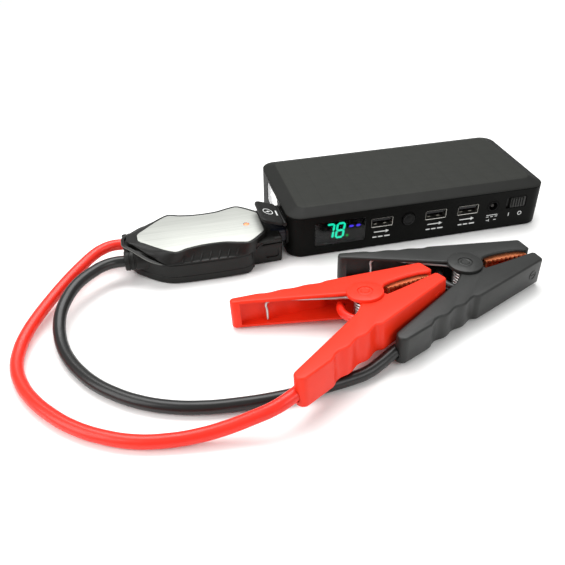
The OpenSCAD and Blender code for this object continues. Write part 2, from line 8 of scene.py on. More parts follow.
import bmesh
import bpy
from mathutils import Matrix, Vector


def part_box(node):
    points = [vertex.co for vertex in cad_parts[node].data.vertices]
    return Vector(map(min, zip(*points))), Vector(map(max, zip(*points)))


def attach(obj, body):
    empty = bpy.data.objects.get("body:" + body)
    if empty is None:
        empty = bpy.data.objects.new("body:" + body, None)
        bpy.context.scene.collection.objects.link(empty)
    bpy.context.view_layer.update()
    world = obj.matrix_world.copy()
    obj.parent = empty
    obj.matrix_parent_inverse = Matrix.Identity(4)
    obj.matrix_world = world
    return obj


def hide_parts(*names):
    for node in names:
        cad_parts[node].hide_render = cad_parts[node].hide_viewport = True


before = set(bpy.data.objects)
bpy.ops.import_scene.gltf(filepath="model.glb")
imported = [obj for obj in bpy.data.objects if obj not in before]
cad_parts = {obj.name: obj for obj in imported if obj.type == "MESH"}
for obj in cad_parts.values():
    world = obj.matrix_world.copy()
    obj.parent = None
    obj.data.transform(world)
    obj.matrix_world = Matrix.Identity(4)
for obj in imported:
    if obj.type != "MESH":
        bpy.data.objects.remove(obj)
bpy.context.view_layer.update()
MM = 0.001


def mm_box(node):
    """Lower and upper corner of a CAD node in millimetres."""
    low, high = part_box(node)
    return Vector(low) / MM, Vector(high) / MM


def rotation(degrees, axis):
    return Matrix.Rotation(math.radians(degrees), 4, axis)


def new_object(name, data):
    thing = bpy.data.objects.new(name, data)
    bpy.context.collection.objects.link(thing)
    return thing


# ---------------- camera, floor and light

# Place in millimetres, turns in degrees, lens and sensor in millimetres
CAMERA_AT = (-160.8, -350.8, 219.8)
CAMERA_DOWN = 36.06
CAMERA_YAW = -13.70
CAMERA_ROLL = -0.657
LENS = 43.08
SENSOR = 36
NEAR_CLIP = 10

WORLD_LIGHT = 0.5
# Studio lights: name, place and size in metres, power in watts
LIGHT_AIM = (-0.07, -0.06, 0.0)
LIGHTS = [
    ("top_box", (-0.05, 0.25, 0.75), (0.8, 0.5), 8),
    ("left_box", (-0.75, -0.25, 0.45), (0.5, 0.6), 4),
    ("front_fill", (0.35, -0.7, 0.5), (0.6, 0.4), 2.5)]


def make_camera():
    data = bpy.data.cameras.new("camera")
    data.lens = LENS
    data.sensor_width = SENSOR
    data.clip_start = NEAR_CLIP * MM
    camera = new_object("camera", data)
    turn = rotation(CAMERA_YAW, "Z") @ rotation(90 - CAMERA_DOWN, "X") @ rotation(CAMERA_ROLL, "Z")
    camera.matrix_world = Matrix.Translation(Vector(CAMERA_AT) * MM) @ turn
    bpy.context.scene.camera = camera
    bpy.context.scene.view_settings.view_transform = "Standard"


def area_light(name, at, size, power):
    data = bpy.data.lights.new(name, "AREA")
    data.shape = "RECTANGLE"
    data.size, data.size_y = size
    data.energy = power
    lamp = new_object(name, data)
    lamp.location = at
    lamp.rotation_euler = (Vector(LIGHT_AIM) - Vector(at)).to_track_quat("-Z", "Y").to_euler()


def make_light():
    world = bpy.data.worlds.new("studio")
    world.use_nodes = True
    set_inputs(world.node_tree.nodes["Background"], {"Color": (1, 1, 1, 1), "Strength": WORLD_LIGHT})
    bpy.context.scene.world = world
    for light in LIGHTS:
        area_light(*light)


# ---------------- materials

def shader_of(material):
    return material.node_tree.nodes["Principled BSDF"]


def set_inputs(node, values):
    for key, value in values.items():
        node.inputs[key].default_value = value


MATERIALS = {}


def new_material(name, colour, roughness, metallic=0.0, coat=0.0, specular=0.5):
    material = bpy.data.materials.new(name)
    material.use_nodes = True
    set_inputs(shader_of(material), {
        "Base Color": (*colour, 1), "Roughness": roughness, "Metallic": metallic, "Coat Weight": coat,
        "Specular IOR Level": specular})
    MATERIALS[name] = material
    return material


def add_node(material, kind, **values):
    node = material.node_tree.nodes.new("ShaderNode" + kind)
    for key, value in values.items():
        if key in node.inputs:
            node.inputs[key].default_value = value
        else:
            setattr(node, key, value)
    return node


def wire(material, source, output, target, socket):
    material.node_tree.links.new(source.outputs[output], target.inputs[socket])


def toned(colour, factor):
    return [min(1, c * factor) for c in colour]


def noise(material, scale, detail=3.0, stretch=(1, 1, 1)):
    """Noise in the piece's own coordinates, so that it stays on the piece when the piece moves."""
    place = add_node(material, "TexCoord")
    mapping = add_node(material, "Mapping", Scale=stretch)
    wire(material, place, "Object", mapping, "Vector")
    texture = add_node(material, "TexNoise", Scale=scale, Detail=detail)
    wire(material, mapping, "Vector", texture, "Vector")
    return texture


def add_bump(material, texture, strength, depth):
    bump = add_node(material, "Bump", Strength=strength, Distance=depth * MM)
    wire(material, texture, "Fac", bump, "Height")
    wire(material, bump, "Normal", shader_of(material), "Normal")


def colour_ramp(material, *stops):
    """Colour ramp with two or more (position, colour) stops."""
    node = add_node(material, "ValToRGB")
    elements = node.color_ramp.elements
    for _ in stops[2:]:
        elements.new(1)
    for element, (position, colour) in zip(elements, stops):
        element.position = position
        element.color = (*colour, 1)
    return node


def vary_colour(material, texture, low, high):
    ramp = colour_ramp(material, (0.3, low), (0.7, high))
    wire(material, texture, "Fac", ramp, "Fac")
    wire(material, ramp, "Color", shader_of(material), "Base Color")


def vary_roughness(material, texture, low, high):
    spread = add_node(material, "MapRange", **{"To Min": low, "To Max": high})
    wire(material, texture, "Fac", spread, "Value")
    wire(material, spread, "Result", shader_of(material), "Roughness")


# Scale of the fine grain on moulded surfaces
GRAIN_SCALE = 2600


def moulded(name, colour, roughness, grain_depth=0.02, spread=0.12, coat=0.0, specular=0.5):
    """Moulded plastic or rubber: fine grain, soft mottling in colour and in gloss."""
    material = new_material(name, colour, roughness, coat=coat, specular=specular)
    vary_colour(material, noise(material, 90, 4), toned(colour, 1 - spread), toned(colour, 1 + spread))
    vary_roughness(material, noise(material, 240, 3), roughness * 0.88, min(1, roughness * 1.12))
    add_bump(material, noise(material, GRAIN_SCALE, 2), 0.5, grain_depth)


def metal(name, colour, roughness, scale=900, depth=0.01, spread=0.08, metallic=1.0):
    material = new_material(name, colour, roughness, metallic=metallic)
    texture = noise(material, scale, 3)
    vary_colour(material, texture, toned(colour, 1 - spread), toned(colour, 1 + spread))
    vary_roughness(material, noise(material, scale * 0.6, 2), roughness * 0.75, roughness * 1.25)
    add_bump(material, texture, 0.3, depth)


def light_up(material, light, strength):
    set_inputs(shader_of(material), {"Emission Color": (*light, 1), "Emission Strength": strength})


def glowing(name, colour, light, strength):
    material = new_material(name, colour, 0.35)
    light_up(material, light, strength)
    vary_roughness(material, noise(material, 800, 2), 0.25, 0.4)


def see_through(name, colour, alpha, roughness, coat=0.5, specular=0.5):
    material = new_material(name, colour, roughness, coat=coat, specular=specular)
    set_inputs(shader_of(material), {"Alpha": alpha})
    vary_roughness(material, noise(material, 60, 3), roughness * 0.7, roughness * 1.4)
    return material


def lit_lens():
    """Clear lens that spreads the light of the diode behind it."""
    material = see_through("torch_lens", (0.95, 0.96, 1.0), 0.3, 0.08)
    light_up(material, (1, 0.97, 0.9), 0.3)


# Places of the colour sockets of a Mix node
COLOUR_A = 6
COLOUR_B = 7
MIXED_COLOUR = 2

# Columns and rows of the lid's pattern: axis and pitch
LID_GRID = (("X", 11.4), ("Y", 5.7))
# How far under the top the flat ends and the painted shade of the bevel begins
FLAT_END = 0.3
BEVEL_START = 0.5


def soft_touch_lid():
    """Rubberised lid: a faint pattern of columns and rows on the flat top, plain and darker on the bevel,
    where the darker colour is painted shade.
    """
    base = (0.0155, 0.0165, 0.0138)
    dark, grey, white = [(v, v, v) for v in (0, 0.82, 1)]
    material = new_material("lid_soft_touch", base, 0.6, specular=0.2)
    place = add_node(material, "TexCoord")
    split = add_node(material, "SeparateXYZ")
    wire(material, place, "Object", split, "Vector")
    heights = []
    for axis, pitch in LID_GRID:
        scaled = add_node(material, "Math", operation="MULTIPLY")
        scaled.inputs[1].default_value = 1 / (pitch * MM)
        wire(material, split, axis, scaled, 0)
        fraction = add_node(material, "Math", operation="FRACT")
        wire(material, scaled, "Value", fraction, 0)
        line = colour_ramp(material, (0.0, dark), (0.09, white), (0.94, grey))
        wire(material, fraction, "Value", line, "Fac")
        heights.append(line)
    both = add_node(material, "Mix", data_type="RGBA", blend_type="MULTIPLY")
    both.inputs["Factor"].default_value = 1.0
    wire(material, heights[0], "Color", both, COLOUR_A)
    wire(material, heights[1], "Color", both, COLOUR_B)
    tint = colour_ramp(material, (0.0, toned(base, 0.86)), (1.0, toned(base, 1.10)))
    wire(material, both, MIXED_COLOUR, tint, "Fac")
    flat_top = mm_box("case_top")[1].z
    ends = {"From Min": (flat_top - BEVEL_START) * MM, "From Max": (flat_top - FLAT_END) * MM}
    on_top = add_node(material, "MapRange", **ends)
    wire(material, split, "Z", on_top, "Value")
    # Painted shade: the bevel takes a darker colour than the flat top
    bevel_shade = add_node(material, "Mix", data_type="RGBA")
    bevel_shade.inputs[COLOUR_A].default_value = (*toned(base, 0.42), 1)
    wire(material, on_top, "Result", bevel_shade, "Factor")
    wire(material, tint, "Color", bevel_shade, COLOUR_B)
    wire(material, bevel_shade, MIXED_COLOUR, shader_of(material), "Base Color")
    vary_roughness(material, noise(material, 150, 3), 0.56, 0.68)
    add_bump(material, noise(material, GRAIN_SCALE, 2), 0.5, 0.02)


def brushed_plate():
    """Aluminium brushed along the smart plug."""
    material = new_material("brushed_plate", (0.46, 0.47, 0.44), 0.6, metallic=1.0)
    fine = noise(material, 700, 4, (0.03, 1.6, 1))
    vary_colour(material, fine, (0.42, 0.43, 0.405), (0.50, 0.51, 0.48))
    vary_roughness(material, noise(material, 500, 3, (0.02, 1.4, 1)), 0.52, 0.68)
    add_bump(material, fine, 0.35, 0.012)


def cable_sheath(name, colour):
    """Glossy extruded sheath, with the slight waviness of a soft cable."""
    material = new_material(name, colour, 0.36, coat=0.06, specular=0.4)
    vary_colour(material, noise(material, 60, 3), toned(colour, 0.9), toned(colour, 1.1))
    vary_roughness(material, noise(material, 300, 3), 0.3, 0.42)
    add_bump(material, noise(material, 160, 2), 0.25, 0.06)


def pale_floor():
    material = new_material("pale_floor", (0.9, 0.9, 0.89), 0.45, specular=0.3)
    vary_roughness(material, noise(material, 12, 3), 0.4, 0.5)


def make_materials():
    moulded("case_shell", (0.003, 0.0031, 0.0027), 0.5, specular=0.06)
    soft_touch_lid()
    metal("screw_steel", (0.58, 0.58, 0.57), 0.32)
    see_through("smoked_window", (0.002, 0.0021, 0.0023), 0.6, 0.12, coat=0.1, specular=0.35)
    moulded("display_board", (0.002, 0.002, 0.0022), 0.6, grain_depth=0.004, specular=0.05)
    glowing("teal_segments", (0.0, 0.1, 0.06), (0.01, 1.0, 0.6), 5)
    glowing("blue_bars", (0.0, 0.0, 0.1), (0.09, 0.05, 1.0), 5)
    glowing("green_dot", (0.0, 0.1, 0.02), (0.02, 0.8, 0.1), 2.4)
    metal("socket_metal", (0.40, 0.39, 0.36), 0.34)
    moulded("socket_plastic", (0.012, 0.012, 0.013), 0.42, specular=0.3)
    moulded("jack_plastic", (0.004, 0.004, 0.004), 0.45, specular=0.12)
    metal("contact_brass", (0.83, 0.62, 0.27), 0.24)
    # Nearly black pin: painted shade of the jack's hollow
    metal("jack_pin", (0.05, 0.047, 0.045), 0.45)
    moulded("button_plastic", (0.0045, 0.0045, 0.0042), 0.36, specular=0.16)
    moulded("switch_plastic", (0.006, 0.006, 0.006), 0.45, specular=0.15)
    moulded("slider_plastic", (0.016, 0.016, 0.015), 0.42, specular=0.3)
    lit_lens()
    metal("reflector", (0.92, 0.92, 0.93), 0.08)
    glowing("torch_diode", (1, 0.98, 0.92), (1.0, 0.93, 0.8), 10)
    moulded("cover_rubber", (0.005, 0.005, 0.0046), 0.5, specular=0.22)
    metal("cell_foil", (0.72, 0.73, 0.76), 0.3)
    moulded("board_mask", (0.02, 0.16, 0.07), 0.35, coat=0.2)
    moulded("module_rubber", (0.0062, 0.0062, 0.0054), 0.44, specular=0.24)
    # Lighter rubber for the bead on the lip's edge: a painted highlight
    moulded("lip_highlight", (0.09, 0.09, 0.082), 0.4, specular=0.4)
    brushed_plate()
    glowing("indicator", (0.8, 0.2, 0.08), (1.0, 0.2, 0.08), 1.1)
    moulded("relay_plastic", (0.03, 0.09, 0.33), 0.4)
    moulded("plug_plastic", (0.006, 0.007, 0.012), 0.4, specular=0.25)
    cable_sheath("red_pvc", (0.78, 0.018, 0.006))
    cable_sheath("black_pvc", (0.006, 0.006, 0.0056))
    moulded("red_grip", (0.78, 0.026, 0.0065), 0.4, grain_depth=0.012, spread=0.04, specular=0.27)
    moulded("black_grip", (0.0145, 0.0152, 0.0142), 0.4, grain_depth=0.012, specular=0.32)
    metal("jaw_copper", (0.78, 0.24, 0.1), 0.26, scale=300, depth=0.003, spread=0.1, metallic=0.6)
    metal("spring_steel", (0.52, 0.51, 0.5), 0.3, scale=150, depth=0.002, spread=0.03)
    moulded("white_print", (0.62, 0.63, 0.62), 0.55)
    pale_floor()


# ---------------- mesh helpers

def arc(cx, cy, r, start, end, steps):
    """Points of an arc between two angles in degrees."""
    angles = [math.radians(start + (end - start) * i / steps) for i in range(steps + 1)]
    return [(cx + r * math.cos(a), cy + r * math.sin(a)) for a in angles]


def rounded_rect(w, h, r, steps=6):
    corners = ((w / 2 - r, h / 2 - r, 0), (r - w / 2, h / 2 - r, 90),
               (r - w / 2, r - h / 2, 180), (w / 2 - r, r - h / 2, 270))
    return [p for cx, cy, a in corners for p in arc(cx, cy, r, a, a + 90, steps)]


def drawn_in(size, inward, r, steps=8):
    """Rounded rectangle of this width and height, drawn in by inward on every side."""
    return rounded_rect(size[0] - 2 * inward, size[1] - 2 * inward, r, steps)


def circle(r, steps=48):
    return arc(0, 0, r, 0, 360 - 360 / steps, steps - 1)


def in_xy(points, z, centre=(0, 0)):
    return [Vector((centre[0] + u, centre[1] + v, z)) for u, v in points]


def in_xz(points, y, centre=(0, 0)):
    return [Vector((centre[0] + u, y, centre[1] + v)) for u, v in points]


def in_yz(points, x, centre=(0, 0)):
    return [Vector((x, centre[0] + u, centre[1] + v)) for u, v in points]


def add_piece(name, data, place=None, smooth_below=32):
    """A mesh piece from points and faces in millimetres, placed by a matrix in millimetres."""
    verts, faces = data
    mesh = bpy.data.meshes.new(name)
    moved = [place @ Vector(v) if place else Vector(v) for v in verts]
    mesh.from_pydata([v * MM for v in moved], [], faces)
    tidy = bmesh.new()
    tidy.from_mesh(mesh)
    bmesh.ops.recalc_face_normals(tidy, faces=tidy.faces)
    tidy.to_mesh(mesh)
    tidy.free()
    piece = new_object(name, mesh)
    shade(piece, smooth_below)
    return piece


def shade(piece, smooth_below=32):
    piece.data.shade_smooth()
    piece.data.set_sharp_from_angle(angle=math.radians(smooth_below))


def loft_data(rings, hollow=False):
    """A skin through rings of points: capped at both ends, or closed on itself where it is hollow."""
    count = len(rings[0])
    verts = [p for ring in rings for p in ring]
    faces = []
    for i in range(len(rings) if hollow else len(rings) - 1):
        above = (i + 1) % len(rings)
        for k in range(count):
            after = (k + 1) % count
            faces.append((i * count + k, i * count + after, above * count + after, above * count + k))
    if not hollow:
        faces.append(tuple(range(count)))
        faces.append(tuple(range(len(verts) - count, len(verts))))
    return verts, faces


def loft(name, rings, place=None, smooth_below=32, hollow=False):
    return add_piece(name, loft_data(rings, hollow), place, smooth_below)


def merge_data(parts):
    verts = []
    faces = []
    for part_verts, part_faces in parts:
        start = len(verts)
        verts += part_verts
        faces += [tuple(start + i for i in face) for face in part_faces]
    return verts, faces


def bar_data(path, r):
    """Skin of a round bar along a path, its ends drawn in."""
    rings = []
    last = len(path) - 1
    for k, at in enumerate(path):
        along = (path[min(k + 1, last)] - path[max(k - 1, 0)]).normalized()
        side = along.cross(Vector((0, 0, 1))).normalized()
        up = side.cross(along)
        width = r if 0 < k < last else 0.5 * r
        rings.append([at + side * u + up * v for u, v in circle(width, 10)])
    return loft_data(rings)


def quarter(r, steps):
    """Pairs of inset and height, up a rounded lower edge of radius r."""
    angles = [math.radians(90 * i / steps) for i in range(steps + 1)]
    return [(r * (1 - math.sin(a)), r * (1 - math.cos(a))) for a in angles]


def turned(profile, steps=48):
    """Rings of a turned solid about Z from (radius, z) pairs."""
    return [in_xy(circle(r, steps), z) for r, z in profile]


def carve(piece, tools, operation="DIFFERENCE"):
    """Applies one boolean for each tool, and deletes the tools."""
    for tool in tools:
        step = piece.modifiers.new("carve", "BOOLEAN")
        step.operation = operation
        step.solver = "EXACT"
        step.object = tool
        graph = bpy.context.evaluated_depsgraph_get()
        mesh = bpy.data.meshes.new_from_object(piece.evaluated_get(graph))
        piece.modifiers.clear()
        piece.data = mesh
        bpy.data.objects.remove(tool)
    shade(piece)


def settle(piece, place):
    """Moves a piece that was made about its own origin to its place."""
    piece.data.transform(Matrix.Translation(place.translation * MM) @ place.to_3x3().to_4x4())


def inset(points, depth):
    """A closed outline moved inwards by depth, its corners mitred."""
    area = sum(a[0] * b[1] - b[0] * a[1] for a, b in zip(points, points[1:] + points[:1]))
    side = 1 if area > 0 else -1
    moved = []
    for i, p in enumerate(points):
        before = Vector(p) - Vector(points[i - 1])
        after = Vector(points[(i + 1) % len(points)]) - Vector(p)
        n1 = Vector((-before.y, before.x)).normalized() * side
        n2 = Vector((-after.y, after.x)).normalized() * side
        middle = n1 + n2
        reach = min(1 / max(0.3, 0.5 * middle.length_squared), 2.2)
        moved.append((p[0] + middle.x * reach * depth, p[1] + middle.y * reach * depth))
    return moved


def rounded_plate(name, outline, z0, z1, edge):
    """A flat plate whose upper and lower edges are rounded."""
    bend = quarter(edge, 4)
    rings = [in_xy(inset(outline, g), z0 + up) for g, up in bend]
    rings += [in_xy(inset(outline, g), z1 - down) for g, down in reversed(bend)]
    return loft(name, rings)


def tube_piece(name, points, radius, place=None):
    """A round bar or wire as a curve with its own thickness."""
    data = bpy.data.curves.new(name, "CURVE")
    data.dimensions = "3D"
    data.bevel_depth = radius * MM
    data.bevel_resolution = 6
    data.use_fill_caps = True
    data.resolution_u = 6
    knots = data.splines.new("BEZIER").bezier_points
    knots.add(len(points) - 1)
    for knot, point in zip(knots, points):
        knot.co = (place @ Vector(point) if place else Vector(point)) * MM
        knot.handle_left_type = knot.handle_right_type = "AUTO"
    return new_object(name, data)


def dress(piece, material, body, *nodes, slot=None):
    """Material, body and replaced CAD nodes of a piece; slot is not used."""
    piece.data.materials.clear()
    piece.data.materials.append(MATERIALS[material])
    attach(piece, body)
    if nodes:
        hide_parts(*nodes)


def paint(node, material, soften_mm=0.0):
    """Material of a CAD node that keeps its own shape, its hard edges eased where asked."""
    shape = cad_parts[node]
    shape.data.materials.clear()
    shape.data.materials.append(MATERIALS[material])
    if soften_mm:
        weld = shape.modifiers.new("weld", "WELD")
        weld.merge_threshold = 0.002 * MM
        flat = shape.modifiers.new("flat", "DECIMATE")
        flat.decimate_type = "DISSOLVE"
        flat.angle_limit = math.radians(2)
        ease = shape.modifiers.new("ease", "BEVEL")
        ease.width = soften_mm * MM
        ease.segments = 2
        ease.limit_method = "ANGLE"
        ease.angle_limit = math.radians(40)
        shape.modifiers.new("even", "WEIGHTED_NORMAL")


# ---------------- cables

ROUTES = {"red": [
    (-172, -14.2, 11.8), (-178, -14.2, 11.8), (-184, -16.6, 11.5), (-189, -20.6, 10.9), (-194.5, -26.4, 9.8),
    (-200, -33, 8.7), (-206, -41.5, 7.6), (-212, -51, 6.5), (-218, -62, 5.6), (-223, -73.5, 4.8),
    (-226, -85, 4), (-226.5, -96, 3.5), (-224, -107, 3.2), (-219, -118, 3.2), (-211, -129.5, 3.2),
    (-201, -140, 3.2), (-189, -148.5, 3.2), (-176, -154.5, 3.2), (-163, -157.5, 3.5), (-151, -159, 4.6),
    (-139, -159.6, 6.7), (-127.5, -159.6, 9.7), (-118.5, -159.4, 12.5), (-110.4, -157.1, 14.7),
    (-105.6, -154.1, 14.9), (-99.9, -150.4, 14.6), (-93.2, -144.9, 14.2)], "black": [
    (-172, -31.8, 11.8), (-178, -31.8, 11.8), (-184, -34.4, 12.1), (-189, -38.3, 12.1), (-194, -42.8, 11.8),
    (-199, -48.5, 10.9), (-203, -55.5, 9.5), (-206, -63.5, 7.8), (-207.2, -71, 6), (-207, -79, 4.7),
    (-205.5, -88, 3.8), (-202.5, -97, 3.4), (-198, -106, 3.2), (-192, -115, 3.2), (-184, -123.5, 3.2),
    (-173, -132, 3.2), (-160, -138.5, 3.2), (-146, -142.5, 3.2), (-131, -144.5, 3.2), (-116, -145.2, 3.2),
    (-102, -144.6, 3.2), (-90, -143.4, 3.2), (-79.5, -142.2, 3.4), (-70.5, -140.6, 3.9), (-62.5, -137.4, 5.2),
    (-56, -134, 6.3), (-50.8, -131.7, 6.95), (-44.6, -128.7, 6.95), (-37.3, -124.1, 6.95)]}
CABLE_D = 6.3
CABLE_R = CABLE_D / 2


def make_cable(colour):
    route = ROUTES[colour]
    cable = tube_piece(colour + "_sheath", route, CABLE_R)
    cable.data.bevel_resolution = 8
    dress(cable, colour + "_pvc", "smart_lead", colour + "_cable")


# ---------------- battery pack

# Turns what was made about Z so that it lies along Y
ALONG_Y = rotation(90, "X")

CASE_LOW, CASE_HIGH = mm_box("case_bottom")
LID_TOP = mm_box("case_top")[1].z
CASE_L = CASE_HIGH.x - CASE_LOW.x
CASE_W = CASE_HIGH.y - CASE_LOW.y
SEAM = CASE_HIGH.z
FRONT = CASE_LOW.y
LEFT = CASE_LOW.x
CORNER_R = 8.5
BASE_R = 1.8
WALL = 2
BEVEL_IN = 7.8
MOUTH = 0.3

# Port face: middles as X and Z, sizes as width and height
WINDOW_AT = (-49.6, 13.9)
WINDOW = (30.8, 15.4)
WINDOW_R = 1.6
USB_X = (-24.35, 9.3, 29.95)
USB_Z = 16.8
USB = (13.2, 5.9)
BUTTON_AT = (-8, 16.4)
BUTTON_R = 3.75
DC_AT = (46.6, 16.6)
SWITCH_AT = (61.6, 17.4)
SWITCH = (12.8, 7.2)

# Left end: middles as Y and Z, sizes as width and height
TORCH_AT = (4.5, 17)
TORCH = (25, 13.6)
TORCH_R = 3
SOCKET_AT = (-22.5, 12.5)
SOCKET = (19, 11.4)
COVER_HINGE = (LEFT - 1.4, -22.5, 21.6)
COVER = (13.5, 23)
COVER_OPEN = 20

# Underside: screw places as X and Y
SCREW_AT = [(-71, 28.5), (71, 28.5), (71, -28.5), (-56, -28.5)]
SCREW_HOLE_R = 2.4


def case_ring(z, inward, corner=None):
    """Outline of the case at a height, drawn in from its widest."""
    corner = CORNER_R - inward if corner is None else corner
    return in_xy(rounded_rect(CASE_L - 2 * inward, CASE_W - 2 * inward, corner, 12), z)


def opening_tool(lay, face, centre, size, r, depth=WALL + 2, flare=MOUTH):
    """A cutter for an opening in a side of the case, its mouth eased by a small slope."""
    return loft("tool", [lay(drawn_in(size, -grow, r + grow), face + back, centre)
                         for back, grow in ((-1, flare + 1), (flare, 0), (depth, 0))])


def front_tool(*shape, **options):
    return opening_tool(in_xz, FRONT, *shape, **options)


def left_tool(*shape, **options):
    return opening_tool(in_yz, LEFT, *shape, **options)


def screw_holes(places, depth):
    """Cutters for the counterbores of the screws in an underside."""
    return [loft("tool", [in_xy(circle(SCREW_HOLE_R, 32), z, at) for z in (-1, depth)]) for at in places]


def make_case():
    outer = [case_ring(z, inward) for inward, z in quarter(BASE_R, 6)]
    outer += [case_ring(SEAM - 0.35, 0), case_ring(SEAM - 0.05, 0.28)]
    case = loft("case_shell", outer)
    hollow = loft("tool", [case_ring(WALL, WALL + 0.6), case_ring(WALL + 1, WALL), case_ring(SEAM + 2, WALL)])
    tools = [hollow, front_tool(WINDOW_AT, WINDOW, WINDOW_R)]
    tools += [front_tool((x, USB_Z), (USB[0] + 0.3, USB[1] + 0.3), 0.5, flare=0.2) for x in USB_X]
    tools += [front_tool(BUTTON_AT, (2 * BUTTON_R + 0.6, 2 * BUTTON_R + 0.6), BUTTON_R + 0.29),
              front_tool(DC_AT, (6.8, 6.8), 3.39, flare=0.5),
              front_tool(SWITCH_AT, SWITCH, 0.8),
              left_tool(TORCH_AT, TORCH, TORCH_R),
              left_tool(SOCKET_AT, (SOCKET[0] + 0.1, SOCKET[1] + 0.1), 3, depth=8),
              left_tool((COVER_HINGE[1], COVER_HINGE[2] - 0.1), (14, 2), 0.6)]
    carve(case, tools + screw_holes(SCREW_AT, 1.6))
    dress(case, "case_shell", "pack", "case_bottom")


def make_lid():
    """Lid with an eased lower edge, a straight slope and a softened rim around its flat top."""
    slope = LID_TOP - 0.12 - (SEAM + 0.55)
    rings = [case_ring(SEAM + 0.02, 2.5), case_ring(SEAM + 0.02, 0.3), case_ring(SEAM + 0.25, 0.02),
             case_ring(SEAM + 0.42, 0.0), case_ring(SEAM + 0.6, 0.22, 8.2)]
    for i in range(1, 6):
        part = i / 6
        rings.append(case_ring(SEAM + 0.55 + slope * part, BEVEL_IN * part, CORNER_R - 4 * part))
    rings += [case_ring(LID_TOP - 0.33, BEVEL_IN - 0.5, 4.3), case_ring(LID_TOP - 0.12, BEVEL_IN + 0.25, 4),
              case_ring(LID_TOP - 0.02, BEVEL_IN + 1.2, 3.4), case_ring(LID_TOP, BEVEL_IN + 2.4, 2.6)]
    lid = loft("lid", rings, smooth_below=40)
    dress(lid, "lid_soft_touch", "pack", "case_top", slot="case_lid")


# Lit display: middle of each figure, and its lit segments: clockwise from the top, the middle one last
FIGURES = ((-55.6, (0, 1, 2)), (-49.3, (0, 1, 2, 3, 4, 5, 6)))
UPRIGHT_SEGMENTS = (1, 2, 4, 5)
FIGURE = (4.3, 9.2)
FIGURE_Z = 14.4
SEGMENT_THICK = 1.3
LEAN = 0.13
BLUE_X = (-42.6, -38.4)
BLUE_Z = 16.2
DOT_AT = (-45.0, 10.4)
DOT_R = 0.75


def segment(cx, cz, length, upright, middle_z):
    """Six-sided bar of the display, leaning about the height middle_z."""
    half = length / 2
    t = SEGMENT_THICK / 2
    points = [(-half, 0), (t - half, -t), (half - t, -t), (half, 0), (half - t, t), (t - half, t)]
    if upright:
        points = [(v, u) for u, v in points]
    return [(cx + u + LEAN * (cz + v - middle_z), cz + v) for u, v in points]


def make_lit_marks(name, outlines, material, *nodes):
    """Flat marks behind the window, from outlines in X and Z."""
    front = FRONT + 1.35
    data = merge_data([loft_data([in_xz(o, y) for y in (front, front + 0.2)]) for o in outlines])
    dress(add_piece(name, data), material, "pack", *nodes, slot="lit_segments")


def make_display():
    rings = [in_xz(drawn_in(WINDOW, inward, WINDOW_R - min(inward, 0.4)), FRONT + back, WINDOW_AT)
             for back, inward in ((1.2, 0.1), (0.45, 0.1), (0.22, 0.22), (0.15, 0.5))]
    dress(loft("window", rings), "smoked_window", "pack", "display_window")

    wide, tall = FIGURE
    spots = [(0, tall / 2), (wide / 2, tall / 4), (wide / 2, -tall / 4), (0, -tall / 2),
             (-wide / 2, -tall / 4), (-wide / 2, tall / 4), (0, 0)]
    bars = []
    for cx, lit in FIGURES:
        for part in lit:
            dx, dz = spots[part]
            upright = part in UPRIGHT_SEGMENTS
            length = (tall / 2 if upright else wide) - 0.25
            bars.append(segment(cx + dx, FIGURE_Z + dz, length, upright, FIGURE_Z))
    make_lit_marks("lit_figures", bars, "teal_segments", "display_digits")
    make_lit_marks("lit_dot", [[(DOT_AT[0] + u, DOT_AT[1] + v) for u, v in circle(DOT_R, 16)]], "green_dot")
    make_lit_marks("lit_bars", [segment(x, BLUE_Z, 3.0, False, BLUE_Z) for x in BLUE_X], "blue_bars")


def make_usb():
    """Folded metal shells with a flared mouth, each with two spring tabs above and two below."""
    parts = []
    depth = 13.9
    profile = ((depth, 0.35), (0.4, 0.35), (0.0, 0.3), (-0.12, 0.16), (-0.08, 0.02), (0.1, 0.0), (depth, 0.0))
    for x in USB_X:
        rings = [in_xz(drawn_in(USB, inward, 0.62 - inward, 5), FRONT + back, (x, USB_Z))
                 for back, inward in profile]
        parts.append(loft_data(rings, hollow=True))
        for dx in (-2.9, 2.9):
            for side in (-1, 1):
                centre = (x + dx, USB_Z + side * (USB[1] / 2 - 0.42))
                tab = [in_xz(rounded_rect(1.9, 0.3, 0.12, 3), FRONT + back, centre) for back in (3.0, 7.5)]
                parts.append(loft_data(tab))
    dress(add_piece("usb_shells", merge_data(parts)), "socket_metal", "pack", "usb_sockets")


def make_button():
    outward = Matrix.Translation((BUTTON_AT[0], FRONT, BUTTON_AT[1])) @ ALONG_Y
    profile = [(2.5, -3.1), (4.8, -3.1), (4.85, -3.0), (4.85, -2.3), (4.8, -2.2), (BUTTON_R, -2.2),
               (BUTTON_R, 0.45), (3.66, 0.68), (3.45, 0.8), (3.15, 0.8), (2.98, 0.66), (2.9, 0.48),
               (2.75, 0.42), (2.0, 0.52), (1.0, 0.57), (0.3, 0.58)]
    button = loft("button", turned(profile), outward)
    dress(button, "button_plastic", "power_button", "power_button")


def make_torch():
    rings = [in_yz(drawn_in(TORCH, inward, TORCH_R - min(inward, 0.9)), LEFT + back, TORCH_AT)
             for back, inward in ((1.3, 0.1), (0.6, 0.1), (0.2, 0.35), (0.05, 0.9), (-0.05, 2.2))]
    dress(loft("torch_window", rings), "torch_lens", "pack", "torch_lens")


